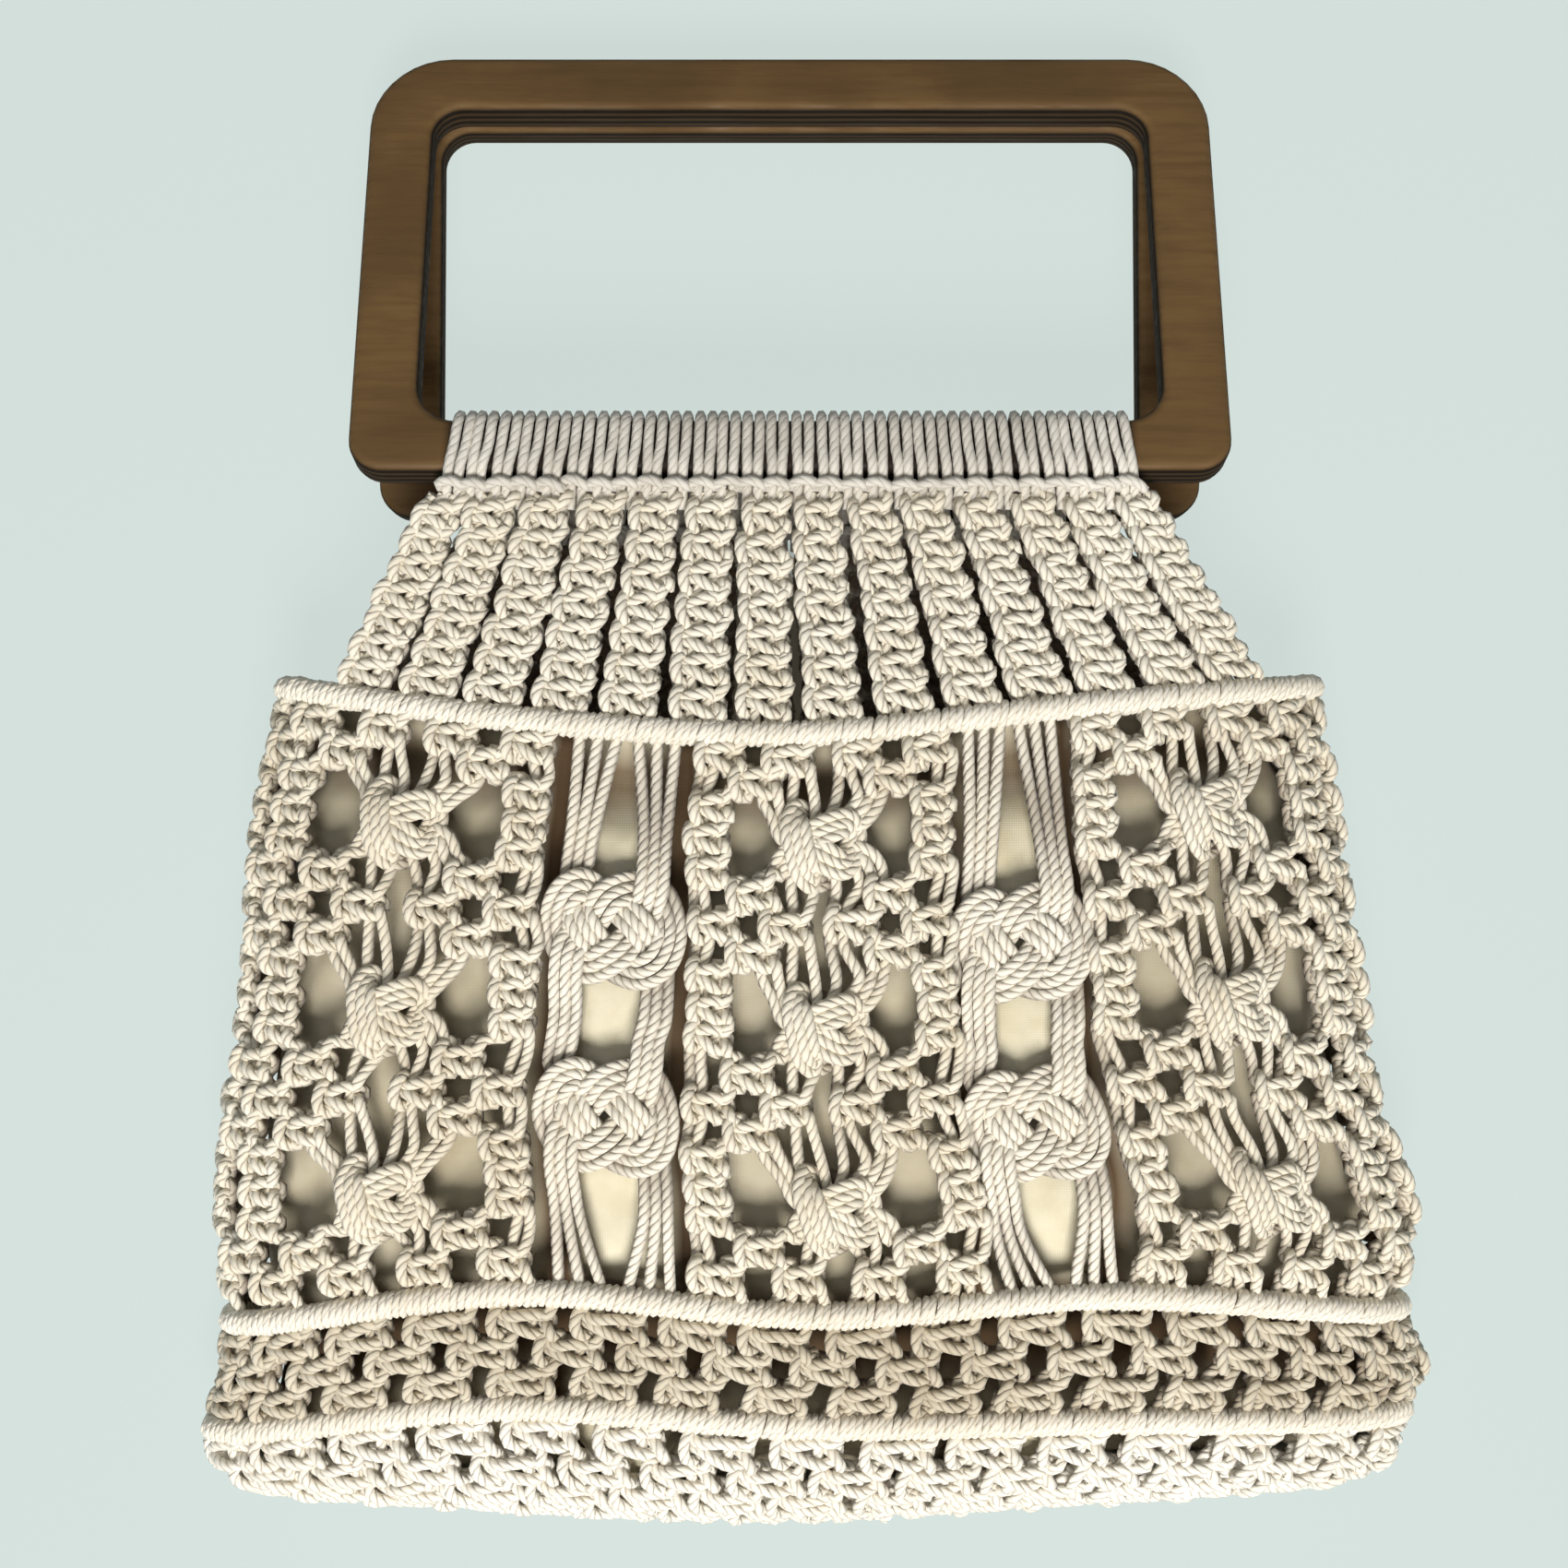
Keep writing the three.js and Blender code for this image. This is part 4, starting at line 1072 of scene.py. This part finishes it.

# %% [markdown]
# Stained plywood has a face with long grain, and edges where its layers show as thin stripes.
# Two materials could do face and edge, but the rounded edge runs from one to the other. So one
# material reads the board attribute: stripes come from the place through the thickness, and grain
# from noise that is stretched along the board. The stain is darker on the edges, and under the
# cords that cover the lower bar painted shade makes the wood darkest.

# %% Stained plywood
GRAIN_STRETCH = (45.0, 420.0, 420.0)
CLOUD_SCALE, WANDER_SCALE, WANDER = 26.0, 45.0, 1.3
LAYER_PITCH = 0.0022  # metres
FACE_AT, EDGE_AT = 0.0046, 0.0034  # metres from the middle of the board's thickness
# where painted shade darkens the wood under the cords on the lower bar, in metres up and across
PAINTED_SHADE_UP, PAINTED_SHADE_ACROSS = (0.0145, 0.0125), (0.087, 0.083)
ROUGHER_EDGE = 0.3


def plywood():
    material, nodes, links, shader = new_material("stained_plywood")
    board = nodes.new("ShaderNodeAttribute")
    board.attribute_name = "board"
    stretch = nodes.new("ShaderNodeVectorMath")
    stretch.operation = "MULTIPLY"
    stretch.inputs[1].default_value = GRAIN_STRETCH
    links.new(board.outputs["Vector"], stretch.inputs[0])
    long_noise = noise_node(nodes, links, stretch.outputs["Vector"], 1.0, 5.0, 0.6)
    grain = spread(nodes, links, long_noise, 0.3, 0.75)
    clouds = spread(nodes, links, noise_node(nodes, links, board.outputs["Vector"], CLOUD_SCALE), 0.3, 0.7)
    face = mix_colour(nodes, links, grain, linear(122, 94, 58), linear(106, 80, 48))
    cloudy = math_node(nodes, links, "MULTIPLY", clouds, 0.6)
    face = mix_colour(nodes, links, cloudy, face, linear(88, 67, 41))
    parts = nodes.new("ShaderNodeSeparateXYZ")
    links.new(board.outputs["Vector"], parts.inputs[0])
    wander = noise_node(nodes, links, board.outputs["Vector"], WANDER_SCALE, 2.0)
    through = math_node(nodes, links, "MULTIPLY", parts.outputs["Z"], 2 * math.pi / LAYER_PITCH)
    layer = math_node(nodes, links, "ADD", through, math_node(nodes, links, "MULTIPLY", wander, WANDER))
    stripes = spread(nodes, links, math_node(nodes, links, "SINE", layer), -0.4, 0.8)
    edge = mix_colour(nodes, links, stripes, linear(25, 18, 10), linear(61, 46, 28))
    off_middle = math_node(nodes, links, "SUBTRACT", parts.outputs["Z"], HANDLE_THICKNESS / 2 * MM)
    centred = math_node(nodes, links, "ABSOLUTE", off_middle)
    on_edge = spread(nodes, links, centred, FACE_AT, EDGE_AT)
    colour = mix_colour(nodes, links, on_edge, face, edge)
    # painted shade: darkest wood under the cords that cover the lower bar
    low = spread(nodes, links, parts.outputs["Y"], *PAINTED_SHADE_UP)
    middle = spread(nodes, links, math_node(nodes, links, "ABSOLUTE", parts.outputs["X"]), *PAINTED_SHADE_ACROSS)
    painted_shade_under_cords = math_node(nodes, links, "MULTIPLY", low, middle)
    colour = mix_colour(nodes, links, painted_shade_under_cords, colour, linear(34, 25, 16))
    links.new(colour, shader.inputs["Base Color"])
    rough = math_node(nodes, links, "ADD", spread(nodes, links, grain, -1.4, 1.6),
                      math_node(nodes, links, "MULTIPLY", on_edge, ROUGHER_EDGE))
    links.new(rough, shader.inputs["Roughness"])
    bump = nodes.new("ShaderNodeBump")
    bump.inputs["Strength"].default_value = 0.35
    bump.inputs["Distance"].default_value = 0.0001
    links.new(grain, bump.inputs["Height"])
    links.new(bump.outputs["Normal"], shader.inputs["Normal"])
    shader.inputs["Specular IOR Level"].default_value = 0.2
    return material


plywood_finish = plywood()
for face in STEPS:
    handle_piece(face, plywood_finish)
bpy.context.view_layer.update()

# %% [markdown]
# The lining is a pouch of thin cotton cloth, seen through the gaps. A cloth simulation could drop
# it into the bag, but the knots it would hang on are many thousands of faces. So it is one grid
# laid round the inside of the body and closed at the foot, with soft folds worked out as waves.
# Where it lies deep, and beside the josephine knots, an attribute notes it, and painted shade makes the
# cloth darker there.

# %% The lining
LINING_DEPTH = -6.0
LINING_THICKNESS = 0.8
LINING_COLUMNS, LINING_ROWS = 176, 72
LINING_END = 1.95  # how far along the cloth goes
STEP_ACROSS, STEP_ALONG = 320, 170  # about the millimetres that one step across and along is
SLANTED_DEPTH, CROSSED_DEPTH, CREASE_DEPTH = 1.9, 0.8, 0.9
JOSEPHINE_MIDDLES = (0.353, 0.676)
JOSEPHINE_SIDE = 0.052  # from the middle of a josephine column to about its side
BEHIND_NETS, BESIDE_JOSEPHINES, BEHIND_BAND, BELOW_TOP = 3.2, 4.5, 9.0, 8.0  # millimetres deep


def lining_folds(across, along):
    """How far the cloth falls away from the knots, in millimetres."""
    x, y = across * STEP_ACROSS, along * STEP_ALONG
    slanted = np.sin(x * 0.21 + 1.7 * np.sin(y * 0.11)) + np.sin(x * 0.13 - y * 0.17 + 1.3)
    crossed = np.sin(y * 0.24 + 1.4 * np.sin(x * 0.09)) * np.sin(x * 0.31 + y * 0.08)
    creased = np.abs(np.sin(x * 0.29 + y * 0.19 + 2 * np.sin(y * 0.07)))
    return SLANTED_DEPTH * (1 - np.abs(slanted / 2)) + CROSSED_DEPTH * (1 + crossed) + CREASE_DEPTH * creased


def behind_nets(across):
    """How deep the cloth lies behind the nets, and where it turns back beside the josephine knots, where it
    also gets painted shade.
    """
    on_front = np.minimum(across, 2 - across)
    aside = np.minimum(*(np.abs(on_front - middle) for middle in JOSEPHINE_MIDDLES))
    beside = 1 - between_steps(np.abs(aside - JOSEPHINE_SIDE), 0.006, 0.018)
    return BEHIND_NETS * between_steps(aside, 0.024, 0.04) + BESIDE_JOSEPHINES * beside, beside


def lining_piece(material):
    """The pouch, and the area of its cloth in square metres."""
    shape = bmesh.new()
    bmesh.ops.create_grid(shape, x_segments=LINING_COLUMNS, y_segments=LINING_ROWS, size=1.0)
    flat = np.array([v.co[:2] for v in shape.verts])
    across, share = 1 + flat[:, 0], (1 - flat[:, 1]) / 2
    along = LINING_END * share
    behind_band = between_steps(along, 0.79, 0.87) * between_steps(-along, -1.04, -0.95)
    below_top = between_steps(-along, -0.17, -0.07) * between_steps(along, 0.0, 0.05)
    back, beside = behind_nets(across)
    hollow = np.maximum(np.maximum(BEHIND_BAND * behind_band, BELOW_TOP * below_top), back)
    depth = LINING_DEPTH - lining_folds(across, along) * np.clip(share * 12, 0.2, 1) - hollow
    places = on_body(np.column_stack((across, along, depth)))
    partner = on_body(np.column_stack((2 - across, along, depth)))
    closing = np.clip((share - 0.9) / 0.1, 0, 1)[:, None] ** 2
    places = places * (1 - closing / 2) + partner * closing / 2
    recess = shape.verts.layers.float.new("recess")
    # painted shade: how dark the cloth is, where it lies deep and beside the josephine knots
    for vert, place, deep in zip(shape.verts, places, np.maximum(hollow / BEHIND_BAND, beside)):
        vert.co = Vector((place + SHIFT) * MM)
        vert[recess] = deep
    bmesh.ops.remove_doubles(shape, verts=shape.verts, dist=SAME_SPOT / 10)
    for face in shape.faces:
        face.smooth = True
    area = sum(face.calc_area() for face in shape.faces)
    mesh = bpy.data.meshes.new("cloth_lining")
    shape.to_mesh(mesh)
    shape.free()
    mesh.materials.append(material)
    piece = new_object("cloth_lining", mesh)
    wall = piece.modifiers.new("cloth", "SOLIDIFY")
    wall.thickness = LINING_THICKNESS * MM
    wall.offset = -1.0
    finish_piece(piece, ["lining"])
    return piece, area


THREADS = 520.0


def lining_cloth():
    """Beige cotton in soft patches, with painted shade in brown where it lies deep, and a fine weave."""
    material, nodes, links, shader = new_material("lining_cloth")
    coordinates = nodes.new("ShaderNodeTexCoord")
    patches = place_group(nodes, SOFT_PATCHES)
    patches.inputs["Clean"].default_value = linear(228, 220, 194)
    patches.inputs["Handled"].default_value = linear(206, 193, 156)
    patches.inputs["Amount"].default_value = 0.7
    recess = nodes.new("ShaderNodeAttribute")
    recess.attribute_name = "recess"
    # painted shade: brown where the cloth lies deep
    deep = math_node(nodes, links, "MULTIPLY", recess.outputs["Fac"], 0.96)
    colour = mix_colour(nodes, links, deep, patches.outputs["Color"], linear(86, 58, 20))
    links.new(colour, shader.inputs["Base Color"])
    threads, crossed = nodes.new("ShaderNodeTexWave"), nodes.new("ShaderNodeTexWave")
    crossed.bands_direction = "Y"
    for wave in (threads, crossed):
        wave.inputs["Scale"].default_value = THREADS
        links.new(coordinates.outputs["Object"], wave.inputs["Vector"])
    weave = math_node(nodes, links, "ADD", threads.outputs["Fac"], crossed.outputs["Fac"])
    bump = nodes.new("ShaderNodeBump")
    bump.inputs["Strength"].default_value = 0.3
    bump.inputs["Distance"].default_value = 0.0001
    links.new(weave, bump.inputs["Height"])
    links.new(bump.outputs["Normal"], shader.inputs["Normal"])
    shader.inputs["Roughness"].default_value = 0.8
    shader.inputs["Sheen Weight"].default_value = 0.2
    return material


lining, cloth_area = lining_piece(lining_cloth())
print("lining", round(cloth_area, 4), "square metres")

# %% [markdown]
# The light is soft and comes mostly from the foot of the bag, as the shading under each cord in
# the nets shows, with a wide fill from above. The floor is a plain pale sheet. Lights alone would
# shade it from side to side, where the real background is one even tone, so most of its tone is a
# faint glow. Under the bag the glow is a dim warm grey, because little light gets there.

# %% Floor and light
FLOOR_HALF, FLOOR_DROP = 3.0, 0.0004  # metres
PALE_TONE, SHADED_TONE = (211, 223, 219), (60, 55, 46)
SHADE_MIDDLE, SHADE_FADE = 0.050, (0.124, 0.098)  # its middle towards the foot, and its ends
SHADE_SHOULDER, SHADE_TAPER = 0.01, 0.72  # past the shoulder it narrows towards the handles
SHADE_HALF_WIDTH, SHADE_SOFT = 0.145, 0.04  # its side, and how wide the soft part there is


def floor_piece():
    """The floor, and the shade under the bag as a mask on its glow."""
    shape = bmesh.new()
    bmesh.ops.create_grid(shape, x_segments=1, y_segments=1, size=FLOOR_HALF)
    bmesh.ops.translate(shape, verts=shape.verts, vec=(0, 0, -FLOOR_DROP))
    mesh = bpy.data.meshes.new("floor")
    shape.to_mesh(mesh)
    shape.free()
    material, nodes, links, shader = new_material("pale_floor")
    coordinates = nodes.new("ShaderNodeTexCoord")
    clouds = noise_node(nodes, links, coordinates.outputs["Object"], 2.0)
    grey = mix_colour(nodes, links, clouds, linear(72, 77, 76), linear(69, 74, 73))
    links.new(grey, shader.inputs["Base Color"])
    shader.inputs["Roughness"].default_value = 0.9
    shader.inputs["Specular IOR Level"].default_value = 0.1
    parts = nodes.new("ShaderNodeSeparateXYZ")
    links.new(coordinates.outputs["Object"], parts.inputs[0])
    x, y = parts.outputs["X"], parts.outputs["Y"]
    along = math_node(nodes, links, "ABSOLUTE", math_node(nodes, links, "ADD", y, SHADE_MIDDLE))
    aside = math_node(nodes, links, "ABSOLUTE", x)
    past = math_node(nodes, links, "MAXIMUM", math_node(nodes, links, "ADD", y, SHADE_SHOULDER), 0.0)
    narrower = math_node(nodes, links, "MULTIPLY", past, SHADE_TAPER)
    edge = math_node(nodes, links, "SUBTRACT", SHADE_HALF_WIDTH, narrower)
    inside = math_node(nodes, links, "SUBTRACT", edge, aside)
    wide = spread(nodes, links, inside, 0.0, SHADE_SOFT)
    under = math_node(nodes, links, "MULTIPLY", spread(nodes, links, along, *SHADE_FADE), wide)
    glow = mix_colour(nodes, links, under, linear(*PALE_TONE), linear(*SHADED_TONE))
    links.new(glow, shader.inputs["Emission Color"])
    shader.inputs["Emission Strength"].default_value = 0.913
    mesh.materials.append(material)
    floor = new_object("floor", mesh)
    floor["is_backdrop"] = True


def soft_light(name, place, size, power, colour):
    """A square lamp that looks at the middle of the bag."""
    data = bpy.data.lights.new(name, "AREA")
    data.shape, data.size, data.energy, data.color = "SQUARE", size, power, colour
    light = new_object(name, data)
    light.location = place
    light.rotation_euler = (-Vector(place)).to_track_quat("-Z", "Y").to_euler()


floor_piece()
soft_light("key_from_the_foot", (0.02, -0.78, 1.18), size=0.55, power=22.0, colour=(1.0, 0.98, 0.95))
soft_light("fill_from_above", (-0.2, 0.2, 1.7), size=0.9, power=4.0, colour=(0.95, 0.98, 1.0))
world = bpy.data.worlds.new("studio")
world.use_nodes = True
world.node_tree.nodes["Background"].inputs["Color"].default_value = (0.9, 0.95, 1.0, 1.0)
world.node_tree.nodes["Background"].inputs["Strength"].default_value = 0.1
bpy.context.scene.world = world
bpy.context.scene.view_settings.view_transform = "Standard"
print("lights", len(bpy.data.lights))

# %% Sizes, and the end
sizes = {"cad": [list(corner) for corner in cad_box], "visual": [list(corner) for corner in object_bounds()]}
for label, (low, high) in sizes.items():
    print(label, [round(v * 1000, 1) for v in low], [round(v * 1000, 1) for v in high])
